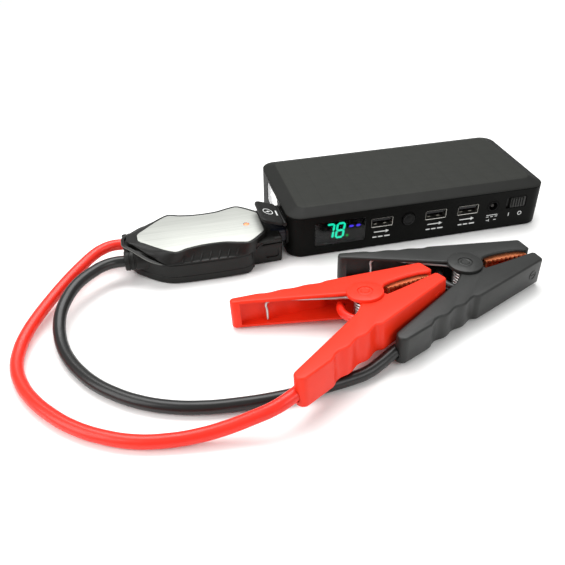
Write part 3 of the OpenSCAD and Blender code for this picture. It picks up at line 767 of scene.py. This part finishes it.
def make_flap():
    """Rubber flap over the jump socket: cushioned plate, seal under it, and the barrel that it hangs by."""
    hinge = Matrix.Translation(COVER_HINGE) @ rotation(COVER_OPEN, "Y")
    rings = [in_xy(drawn_in(COVER, inward, r), z, (-7.35, 0)) for z, inward, r in
             ((-0.82, 1.0, 2.2), (-0.7, 0.35, 2.5), (-0.4, 0.0, 2.8), (0.7, 0.0, 2.8), (1.0, 0.3, 2.6),
              (1.14, 0.8, 2.3), (1.12, 1.5, 1.9), (1.0, 1.9, 1.7), (0.98, 3.0, 1.2))]
    plate = loft("flap", rings, hinge)
    seal = [in_xy(drawn_in((9.4, 16.8), g, 2.2 - g, 6), z, (-6.9, 0))
            for z, g in ((-0.6, 0), (-1.5, 0), (-1.8, 0.3))]
    roll = [(0.8, -10.4), (1.15, -10.3), (1.3, -10), (1.3, 10), (1.15, 10.3), (0.8, 10.4)]
    barrel = loft("tool", turned(roll, 24), hinge @ ALONG_Y)
    carve(plate, [loft("tool", seal, hinge), barrel], "UNION")
    dress(plate, "cover_rubber", "port_cover", "port_cover")

    place = hinge @ Matrix.Translation((-8.4, 0, 0))
    low, high = 0.95, 1.06
    profile = ((3.1, low), (3.1, high), (2.65, high), (2.65, low))
    ring = loft_data([in_xy(circle(r, 40), z) for r, z in profile], True)
    bolt = [(1.9, 0.5), (-0.3, 0.9), (-0.1, 0.15), (-1.9, -0.5), (0.3, -0.9), (0.1, -0.15)]
    bar = [(u + 5.3, v) for u, v in rounded_rect(0.9, 5.6, 0.3, 3)]
    flat = [loft_data([in_xy(o, low), in_xy(o, high)]) for o in (bolt, bar)]
    marks = add_piece("flap_marks", merge_data([ring] + flat), place)
    dress(marks, "white_print", "port_cover", slot="cover_rubber")


# Heights of the signs under the ports, and how far they stand out of the face and reach into it
ARROW_Z = 10.6
BARS_Z = 7.2
CURRENT_Z = (10.9, 9.7)
POLES_Z = 7.4
ON_OFF_Z = 9.6
SIGN_OUT = 0.04
SIGN_IN = 0.02


def arrow(cx, cz, length, head):
    half = length / 2
    neck = cx + half - head
    shaft = 0.32
    return [(cx - half, cz - shaft), (neck, cz - shaft), (neck, cz - head * 0.55), (cx + half, cz),
            (neck, cz + head * 0.55), (neck, cz + shaft), (cx - half, cz + shaft)]


def bar_mark(cx, cz, w, h):
    return [(cx + u, cz + v) for u, v in rounded_rect(w, h, min(w, h) * 0.45, 3)]


def make_print():
    """Plain signs under the ports: arrow and bars for output, direct current sign, on and off strokes."""
    marks = []
    for x in USB_X:
        marks.append(arrow(x, ARROW_Z, 9.4, 2.1))
        marks += [bar_mark(x + dx, BARS_Z, w, 0.8) for dx, w in ((-4.1, 2.6), (-0.5, 3.0), (3.7, 3.6))]
    x = DC_AT[0]
    marks.append(bar_mark(x, CURRENT_Z[0], 7.4, 0.4))
    marks += [bar_mark(x + dx, CURRENT_Z[1], 1.7, 0.4) for dx in (-2.85, 0, 2.85)]
    marks += [bar_mark(x + dx, POLES_Z, w, h)
              for dx, w, h in ((-1.7, 0.45, 1.7), (-2.55, 1.7, 0.4), (2.3, 1.9, 0.4))]
    marks.append(bar_mark(SWITCH_AT[0] - 3.8, ON_OFF_Z, 0.45, 2.4))
    out, back = FRONT - SIGN_OUT, FRONT + SIGN_IN
    signs = add_piece("port_signs", merge_data([loft_data([in_xz(o, out), in_xz(o, back)]) for o in marks]))
    dress(signs, "white_print", "pack", slot="case_shell")
    rings = [in_xz(circle(r, 32), y, (SWITCH_AT[0] + 3.6, ON_OFF_Z))
             for y, r in ((back, 1.35), (out, 1.35), (out, 0.95), (back, 0.95))]
    dress(loft("off_sign", rings, hollow=True), "white_print", "pack", slot="case_shell")


# ---------------- smart plug

MODULE_Y = -23
MODULE_SEAM = 12.5
MODULE_TOP = mm_box("module_top_shell")[1].z
PLATE_TOP = mm_box("module_plate")[1].z - 0.35
NOSE_TOP = 16.5
# Plans of the smart plug, as X and the half width there
MODULE_PLAN = [(-168.5, 4.5), (-160, 13.2), (-154, 18.1), (-147.5, 21.2), (-138, 22.2), (-116, 22.5),
               (-106, 21.7), (-101.5, 19)]
HOOD_END = (-92.5, 11.5)
LIP_PLAN = [(-172.5, 5), (-168.5, 8.2), (-165, 12.4), (-161, 17), (-157, 20), (-152, 21.6),
            (-146, 22)] + MODULE_PLAN[4:] + [HOOD_END]
PLATE_PLAN = [(-163.5, 3.6), (-145.5, 19.2), (-138, 17.4), (-129, 15.9), (-117, 16.2), (-108.5, 18.6),
              (-103.5, 19), (-93.5, 10)]
SHELL_END_R = 3
PLATE_END_R = 1.5
RIM = 1.5
# Nose towards the pack: its ends in X, its half widths there and its corner radius
NOSE = (-104, -84, 14.6, 14, 1.6)
# Round shoulders beside the nose: middle in X and Z, radius, and half the width over them
SHOULDER = (-92.3, 8, 9)
SHOULDER_W = 17.6
MODULE_SCREW_AT = [(x, MODULE_Y + y) for x in (-146, -110) for y in (-14.5, 14.5)]
INDICATOR_AT = (-102, MODULE_Y - 1)
# The lip climbs from here to the cable end
CLIMB_FROM = -150
CLIMB_LENGTH = 21
# Finger ribs on each flank
RIBS = 7
RIB_FROM = -142
RIB_PITCH = 5
RIB_R = 0.55


def half_width(plan, x):
    """Half width of a plan at x, by a smooth curve through its points."""
    last = len(plan) - 1
    k = 0
    while k < last - 1 and x > plan[k + 1][0]:
        k += 1
    slopes = []
    for j in (k, k + 1):
        a, b = plan[max(j - 1, 0)], plan[min(j + 1, last)]
        slopes.append((b[1] - a[1]) / (b[0] - a[0]))
    (xa, wa), (xb, wb) = plan[k], plan[k + 1]
    span = xb - xa
    t = (x - xa) / span
    straight = wa + t * (wb - wa)
    rise = (wb - wa) / span
    bend = t * (1 - t) * span * ((slopes[0] - rise) * (1 - t) - (slopes[1] - rise) * t)
    return straight + bend


def plan_loop(plan, corner):
    """Closed outline about the smart plug's centre line, its two ends rounded by corner."""
    x0, x1 = plan[0][0], plan[-1][0]
    steps = 72
    side = []
    for i in range(steps + 1):
        x = x0 + (x1 - x0) * (0.5 - 0.5 * math.cos(math.pi * i / steps))
        near = min(x - x0, x1 - x, corner) / corner
        side.append((x, half_width(plan, x) - corner * (1 - math.sqrt(max(0, 1 - (1 - near) ** 2)))))
    return [(x, MODULE_Y - w) for x, w in side] + [(x, MODULE_Y + w) for x, w in reversed(side)]


def nose_loop():
    """Outline of the nose, wider at the smart plug than at its end."""
    x0, x1, w0, w1, r = NOSE
    corners = ((x1 - r, w1 - r, 0), (x0 + r, w0 - r, 90), (x0 + r, r - w0, 180), (x1 - r, r - w1, 270))
    points = [p for cx, cy, a in corners for p in arc(cx, cy, r, a, a + 90, 5)]
    return [(u, MODULE_Y + v) for u, v in points]


def make_module_bottom():
    outline = plan_loop(MODULE_PLAN, SHELL_END_R)
    rings = [in_xy(inset(outline, g), z) for g, z in quarter(1.6, 5)]
    rings += [in_xy(inset(outline, g), z) for z, g in
              ((4.6, 0), (4.8, 0.25), (5.1, 0.25), (5.3, 0),
               (MODULE_SEAM - 0.45, 0), (MODULE_SEAM - 0.1, 0.3))]
    shell = loft("plug_shell_lower", rings)
    nose = rounded_plate("tool", nose_loop(), 0.3, MODULE_SEAM - 0.1, 0.8)
    x0, z0, r = SHOULDER
    side = [(NOSE[0], 1), (x0 - r, 1), (x0 - r, z0)] + arc(*SHOULDER, 180, 151, 4)[1:]
    side.append((NOSE[0], MODULE_SEAM - 0.14))
    web = loft("tool", [in_xz(side, MODULE_Y + w) for w in (-SHOULDER_W, SHOULDER_W)])
    dish = loft("tool", [in_xz(rounded_rect(8, 5.6, 1.6), MODULE_Y - y, (-90.2, 6.6)) for y in (15.5, 13.5)])
    carve(shell, [nose, web], "UNION")
    carve(shell, [dish] + screw_holes(MODULE_SCREW_AT, 1.2))
    dress(shell, "module_rubber", "smart_lead", "module_bottom_shell")


def end_share(x):
    """0 along the smart plug, rising to 1 at its cable end."""
    return min(1, max(0, (CLIMB_FROM - x) / CLIMB_LENGTH)) ** 0.85


def full_share(x):
    """Like end_share, but at 1 sooner."""
    return min(1, 2.5 * end_share(x))


def hood_ring(outline, lift, rise, out):
    """The outline at lift over the seam, climbing by rise and spread by out towards the cable end."""
    ring = []
    for a, b in zip(outline, inset(outline, -1)):
        x, y = Vector(a).lerp(Vector(b), out * full_share(a[0]))
        ring.append(Vector((x, y, MODULE_SEAM + lift + rise * end_share(a[0]))))
    return ring


def slope_point(low, high, v):
    """A point of the flank at share v of the way up: hollow under the fingers, full at the cable end."""
    x = low[0] + (high[0] - low[0]) * v
    y = low[1] + (high[1] - low[1]) * v
    gap = math.hypot(high[0] - low[0], high[1] - low[1])
    end = full_share(low[0])
    bend = 1 + 0.9 * (1 - end) * min(1, max(0, (gap - 1.5) / 3)) - 0.5 * end
    return Vector((x, y, low[2] + (MODULE_TOP - 0.1 - low[2]) * v ** bend))


def flank_point(pairs, x, v):
    """The point of the flank at x, at share v of the way up."""
    for left, right in zip(pairs, pairs[1:]):
        xa, xb = [low[0] + (high[0] - low[0]) * v for low, high in (left, right)]
        if xa <= x <= xb:
            return slope_point(*left, v).lerp(slope_point(*right, v), (x - xa) / (xb - xa))
    return slope_point(*pairs[-1], v)


def make_module_top():
    """Upper shell: wall, lip over the cable end with a groove behind it, flanks and the plate's seat."""
    wall = plan_loop(MODULE_PLAN + [HOOD_END], SHELL_END_R)
    lip = plan_loop(LIP_PLAN, SHELL_END_R)
    plate = plan_loop(PLATE_PLAN, PLATE_END_R)
    rim = inset(plate, -RIM)
    rings = [in_xy(inset(wall, 0.3), MODULE_SEAM + 0.05), in_xy(wall, MODULE_SEAM + 0.3)]
    rings.append(hood_ring(wall, 0.5, 4.3, 0))
    rings += [hood_ring(lip, *step) for step in
              ((0.55, 4.4, -0.2), (0.62, 4.6, 0.1), (0.72, 5.1, 0.1), (0.76, 5.2, -0.2), (0.85, 5.4, -1.7),
               (0.86, 3.9, -1.9), (0.88, 3.6, -3.9), (1.0, 6.2, -3.3), (1.1, 6.7, -3.0))]
    edge = rings[-1]
    steps = 14
    for i in range(1, steps + 1):
        rings.append([slope_point(low, high, i / steps) for low, high in zip(edge, rim)])
    rings += [in_xy(inset(plate, g), MODULE_TOP + up) for g, up in
              ((0.45 - RIM, 0.15), (-0.45, 0.15), (-0.2, 0.05), (-0.12, -0.35), (0.3, -0.6))]
    shell = loft("plug_shell_upper", rings, smooth_below=38)
    dress(shell, "module_rubber", "smart_lead", "module_top_shell")

    # Thin bead along the lip in a lighter colour, a painted highlight of its edge
    highlight_line = sorted((p for p in hood_ring(lip, 0.74, 5.15, 0) if p.x < CLIMB_FROM - 2), key=lambda p: p.y)
    dress(add_piece("lip_edge", bar_data(highlight_line, 0.22)), "lip_highlight", "smart_lead", slot="module_rubber")

    half = len(edge) // 2
    near = list(zip(edge[:half], rim[:half]))
    far = list(zip(edge[half:], rim[half:]))[::-1]
    shares = [0.06 + 0.0825 * k for k in range(9)]
    parts = []
    for flank in (near, far):
        for i in range(RIBS):
            foot = RIB_FROM + RIB_PITCH * i
            parts.append(bar_data([flank_point(flank, foot + 3.4 * v ** 1.5, v) for v in shares], RIB_R))
    dress(add_piece("finger_ribs", merge_data(parts)), "module_rubber", "smart_lead")


def make_module_nose():
    """Upper half of the nose, with its round shoulders and the bead along the near one."""
    nose = rounded_plate("plug_nose_upper", nose_loop(), MODULE_SEAM + 0.1, NOSE_TOP, 1.3)
    top = NOSE_TOP + 0.4
    side = [(NOSE[0], MODULE_SEAM + 0.15), (-100.1, MODULE_SEAM + 0.15)] + arc(*SHOULDER, 148, 90, 7)
    side += [(-89, top), (NOSE[0], top)]
    web = loft("tool", [in_xz(side, MODULE_Y - w) for w in (SHOULDER_W, -SHOULDER_W)])
    carve(nose, [web], "UNION")
    dress(nose, "module_rubber", "smart_lead")
    bead = arc(*SHOULDER, 148, 90, 10) + [(-88.6, top + 0.05)]
    path = [Vector((x, MODULE_Y - SHOULDER_W, z)) for x, z in bead]
    dress(add_piece("nose_bead", bar_data(path, 0.4)), "module_rubber", "smart_lead")


def make_module_plate():
    plan = plan_loop(PLATE_PLAN, PLATE_END_R)
    rings = [in_xy(inset(plan, g), z) for z, g in
             ((PLATE_TOP - 0.9, 0.1), (PLATE_TOP - 0.15, 0.05), (PLATE_TOP - 0.04, 0.1), (PLATE_TOP, 0.25))]
    plate = loft("brushed_top", rings)
    drill = loft("tool", [in_xy(circle(r, 32), z, INDICATOR_AT) for r, z in
                          ((1.6, PLATE_TOP - 3), (1.6, PLATE_TOP - 0.25), (2.4, PLATE_TOP + 0.55))])
    carve(plate, [drill])
    dress(plate, "brushed_plate", "smart_lead", "module_plate")
    dome = [(0.6, -3.4), (1.5, -3.4), (1.5, -0.5), (1.35, -0.3), (1.0, -0.16), (0.4, -0.1)]
    light = loft("indicator_lens", turned(dome, 32), Matrix.Translation((*INDICATOR_AT, PLATE_TOP)))
    dress(light, "indicator", "smart_lead", "module_led")


def make_strain_relief(colour):
    """Short blocky boss that the cable leaves by, with two shallow grooves."""
    along = Matrix.Translation(ROUTES[colour][0]) @ rotation(90, "Y")
    bore, length = 3.25, 15
    profile = [(bore, 0), (4.6, 0), (5.3, 0.25), (5.5, 0.8)]
    for start in (2.4, 5.0):
        profile += [(5.65, start), (5.3, start + 0.3), (5.3, start + 0.8), (5.7, start + 1.1)]
    profile += [(5.88, 11), (5.9, length), (bore, length)]
    piece = loft(colour + "_boss", turned(profile), along, hollow=True)
    dress(piece, "module_rubber", "smart_lead", colour + "_strain_relief")


# ---------------- clamps

# A clamp is made about its pivot, its jaws towards +X and its free half on the +Y side
CLAMP_Z0 = 1.6
CLAMP_H = 15.5
CLAMP_TOP = CLAMP_Z0 + CLAMP_H
CLAMP_MID = CLAMP_Z0 + CLAMP_H / 2
CHEEK = 1.6
CHANNEL_Z = CLAMP_Z0 + CHEEK
CHANNEL_H = CLAMP_H - 2 * CHEEK
DISC_PROUD = 1.6
DISC_R = 9.2
EAR_R = 7.1
GRIP_WALL = 2.4
GRIP_SLOPE = 0.282
JAW_X = 41.5
FREE_OUTER = 20.5
CABLE_OUTER = 23.7
FREE_END = -55
CABLE_END = -58.5
CABLE_Z = CHANNEL_Z + CABLE_R + 0.6
WAVE_FROM = -8
WAVE_TO = -43
WAVE_PITCH = 12.4
FREE_WAVE = 0.5
CABLE_WAVE = 0.95
RIVET_HOLE_R = 2.6
RIVET_DISH_R = 3.9
WIRE_R = 0.7
COIL_R = 5.1
COIL_TURNS = 6
SIGN_X = 34.5
EDGE = 1.05
JAW_SOFT = 0.12
CLAMP_PLACES = {
    "red": Matrix.Translation((-58.5, -106, 3.6)) @ rotation(16, "Z") @ rotation(-7.3, "X"),
    "black": Matrix.Translation((2, -89, 0)) @ rotation(8.5, "Z")}


def wave(x, depth):
    """Depth of the finger grooves along a grip."""
    if x > WAVE_FROM or x < WAVE_TO:
        return 0
    fade = min(1, (WAVE_FROM - x) / 3, (x - WAVE_TO) / 3)
    return depth * fade * (1.35 + 0.65 * math.cos(math.radians(360 * (x + 12.5) / WAVE_PITCH)))


def outer_y(x, y0):
    """Outer side of a grip at x, for a grip whose side passes the pivot at y0."""
    return y0 - GRIP_SLOPE * x - wave(x, FREE_WAVE if y0 == FREE_OUTER else CABLE_WAVE)


def waved_side(y0, inward=0):
    steps = 50
    places = [WAVE_FROM + (WAVE_TO - WAVE_FROM) * i / steps for i in range(steps + 1)]
    return [(x, outer_y(x, y0) - inward) for x in places]


def grip_outline(y0, end_x, end_r, nose, inner, near_pivot):
    """Outline of a grip half: nose, outer side, round end, then back along the inner side to the pivot."""
    points = [nose, (JAW_X, nose[1] + 1)]
    points += arc(JAW_X - 2, outer_y(JAW_X - 2, y0) - 2, 2, 0, 70, 5)
    points.append((JAW_X - 6, outer_y(JAW_X - 6, y0)))
    points += waved_side(y0)
    points.append((end_x + 1, outer_y(end_x + 1, y0)))
    points += arc(end_x, outer_y(end_x, y0) - end_r, end_r, 95, 250, 9)
    points.append((end_x + 2, inner[0] - inner[1] * (end_x + 2)))
    return points + near_pivot


def channel_outline(y0, end_x):
    """Hollow of a grip half, open towards the other half."""
    front, reach = JAW_X - 2.4, -14
    points = [(front, reach), (front, outer_y(front, y0) - GRIP_WALL)] + waved_side(y0, GRIP_WALL)
    return points + [(end_x, outer_y(end_x, y0) - GRIP_WALL), (end_x, reach)]


def flipped(points):
    return [(u, -v) for u, v in points]


def upright_tool(outline, z0, z1):
    return loft("tool", [in_xy(outline, z0), in_xy(outline, z1)])


def disc_tool(z0, z1, upper):
    """A pivot disc whose outer rim is rounded on its free face."""
    soft = 0.55
    profile = [(DISC_R, z0), (DISC_R, z1 - soft), (DISC_R - 0.16, z1 - 0.16), (DISC_R - soft, z1)]
    if not upper:
        profile = [(r, z0 + z1 - z) for r, z in reversed(profile)]
    return loft("tool", turned(profile, 64))


def make_free_grip(colour, place):
    outline = grip_outline(FREE_OUTER, FREE_END, 2.6, (40.2, -1.2), (1.8, 0.527),
                           [(-12, 8.1), (-7, 5.5), (-4, 0.4), (7.4, 0.4), (10.6, 0), (13.2, 1.9), (16.9, 2.5),
                            (22.1, 2.5), (28.2, 1.9), (34, 0.9), (37.5, -0.8)])
    grip = rounded_plate(colour + "_free_grip", outline, CLAMP_Z0, CLAMP_TOP, EDGE)
    proud = CLAMP_TOP + DISC_PROUD
    carve(grip, [disc_tool(CLAMP_TOP - 0.2, proud, True), disc_tool(0, CLAMP_Z0 + 0.2, False)], "UNION")
    channel = channel_outline(FREE_OUTER, FREE_END + 1)
    carve(grip, [upright_tool(channel, CHANNEL_Z, CHANNEL_Z + CHANNEL_H),
                 upright_tool(circle(EAR_R + 0.4, 64), CLAMP_Z0, CLAMP_TOP),
                 upright_tool(circle(RIVET_DISH_R), -1, 0.5),
                 upright_tool(circle(RIVET_DISH_R), proud - 0.5, proud + 1),
                 upright_tool(circle(RIVET_HOLE_R, 40), -1, 30)])
    settle(grip, place)
    dress(grip, colour + "_grip", colour + "_free_grip", colour + "_free_half")


def make_cable_grip(colour, place):
    outline = flipped(grip_outline(CABLE_OUTER, CABLE_END, 3.6, (40, 4.2), (5.4, 0.4645),
                                   [(-13, 11.4), (-7.5, 6.8), (-5, 0.4), (6.8, 0.4), (8.6, 6.4), (15.6, 6.2),
                                    (25.7, 5.5), (32.7, 4.9)]))
    grip = rounded_plate(colour + "_cable_grip", outline, CLAMP_Z0, CLAMP_TOP, EDGE)
    channel = flipped(channel_outline(CABLE_OUTER, CABLE_END + 2))
    carve(grip, [upright_tool(circle(EAR_R, 64), CLAMP_Z0 + 0.5, CLAMP_TOP - 0.5)], "UNION")
    carve(grip, [upright_tool(channel, CHANNEL_Z, CHANNEL_Z + CHANNEL_H),
                 upright_tool(circle(DISC_R + 0.4, 64), -1, CLAMP_Z0 + 0.3),
                 upright_tool(circle(DISC_R + 0.4, 64), CLAMP_TOP - 0.3, CLAMP_TOP + 3),
                 upright_tool(circle(RIVET_HOLE_R, 40), -1, 30)])
    r = CABLE_R + 0.25
    slot_at = (CABLE_END, -outer_y(CABLE_END, CABLE_OUTER) + GRIP_WALL + r, CABLE_Z)
    along = Matrix.Translation(slot_at) @ Matrix.Rotation(math.atan(GRIP_SLOPE), 4, "Z")
    drop, reach = 0.6, 12
    mouth = arc(0, -drop, r, 0, -180, 10)[1:-1] + [(-r, -drop)]
    mouth += arc(0, 0, r, 180, 90, 6)[1:] + [(reach, r), (reach, -drop)]
    carve(grip, [loft("tool", [in_yz(mouth, -8), in_yz(mouth, 8)], along)])
    settle(grip, place)
    dress(grip, colour + "_grip", "smart_lead", colour + "_cable_half")


def make_rivet(colour, place):
    """Pivot rivet with a turned ring on each head, painted like the clamp."""
    top = CLAMP_H + 2 * DISC_PROUD
    head = [(2.3, 0.12), (2.55, 0.02), (3.35, 0.02), (3.6, 0.14)]
    profile = [(0.5, 0.1), (1.9, 0.1), (2.1, 0.3)] + head + [(3.6, 0.42), (2.5, 0.42)]
    profile += [(r, top - z) for r, z in reversed(profile)]
    dress(loft(colour + "_rivet", turned(profile, 48), place), colour + "_grip", "smart_lead",
          colour + "_pivot_pin", slot="pin_steel")


def make_spring(colour, place):
    """Coil with the leg that rests on the cable half, and the leg that pushes the free half."""
    z0, z1 = CHANNEL_Z + 1.1, CHANNEL_Z + CHANNEL_H - 1.1
    steps = 16 * COIL_TURNS
    turns = arc(0, 0, COIL_R, 234, 234 - 360 * COIL_TURNS, steps)
    coil = [(x, y, z0 + (z1 - z0) * i / steps) for i, (x, y) in enumerate(turns)]
    leg = [(-33, -23.9, z1), (-33, -23.9, z0 + 2), (-32.2, -23.4, z0), (-18, -14.05, z0)]
    coil_wire = tube_piece(colour + "_coil", leg + coil, WIRE_R, place)
    dress(coil_wire, "spring_steel", "smart_lead", colour + "_spring")
    moving = [(-5.6, 4.6, z1), (-20, 14.2, z1), (-39.6, 26, z1), (-41, 26.8, z1 - 1.2), (-41, 26.6, z1 - 5),
              (-41, 26.6, z0 - 0.4)]
    dress(tube_piece(colour + "_leg", moving, WIRE_R, place), "spring_steel", colour + "_free_grip",
          colour + "_spring_leg")


def make_polarity(colour, place):
    """Ring with a plus or a minus sign, raised on the outer wall of the nose."""
    wall = Matrix.Translation((SIGN_X, -outer_y(SIGN_X, CABLE_OUTER), CLAMP_MID))
    wall = place @ wall @ Matrix.Rotation(math.atan(GRIP_SLOPE), 4, "Z")
    profile = ((0.1, 2.8), (-0.18, 2.8), (-0.26, 2.6), (-0.18, 2.4), (0.1, 2.4))
    parts = [loft_data([in_xz(circle(r, 40), y) for y, r in profile], True)]
    strokes = [(2.6, 0.5), (0.5, 2.6)] if colour == "red" else [(2.6, 0.5)]
    parts += [loft_data([in_xz(rounded_rect(*size, 0.2, 3), y) for y in (0.1, -0.2)]) for size in strokes]
    dress(add_piece(colour + "_sign", merge_data(parts), wall), colour + "_grip", "smart_lead")


def make_clamp(colour):
    for make_part in (make_free_grip, make_cable_grip, make_rivet, make_spring, make_polarity):
        make_part(colour, CLAMP_PLACES[colour])
    paint(colour + "_free_jaw", "jaw_copper", JAW_SOFT)
    paint(colour + "_cable_jaw", "jaw_copper", JAW_SOFT)
    paint(colour + "_cable_lug", "jaw_copper")
    paint(colour + "_jumper_wire", colour + "_pvc")


# ---------------- the scene

# CAD nodes that keep their own shape, by material, and how far the hard edges of some are eased
PLAIN_NODES = {
    "screw_steel": "case_screws module_screws", "display_board": "display_module",
    "socket_plastic": "usb_tongues", "jack_plastic": "dc_jack jump_socket", "jack_pin": "dc_pin",
    "switch_plastic": "button_switch switch_body", "slider_plastic": "switch_slider",
    "reflector": "torch_reflector", "torch_diode": "torch_led", "cover_rubber": "cover_strap",
    "contact_brass": "socket_contacts plug_contacts", "cell_foil": "battery_cells",
    "board_mask": "circuit_board module_board", "relay_plastic": "module_relays",
    "plug_plastic": "plug_housing"}
SOFT_EDGED = {"switch_slider": 0.15, "usb_tongues": 0.15, "plug_housing": 0.3, "module_relays": 0.3,
              "battery_cells": 0.6, "cover_strap": 0.2}
FLOOR_REACH = 6000
FLOOR_Z = -0.1


def make_floor():
    verts = [(sx * FLOOR_REACH, sy * FLOOR_REACH, FLOOR_Z) for sx, sy in ((-1, -1), (1, -1), (1, 1), (-1, 1))]
    floor = add_piece("floor", (verts, [(0, 1, 2, 3)]))
    floor.data.materials.append(MATERIALS["pale_floor"])


make_camera()
make_materials()
for make in (make_clamp, make_cable, make_strain_relief):
    for lead in ("red", "black"):
        make(lead)
make_case()
make_lid()
make_display()
make_usb()
make_button()
make_torch()
make_flap()
make_print()
make_module_bottom()
make_module_top()
make_module_nose()
make_module_plate()
for look, nodes in PLAIN_NODES.items():
    for node in nodes.split():
        paint(node, look, SOFT_EDGED.get(node, 0))
make_floor()
make_light()
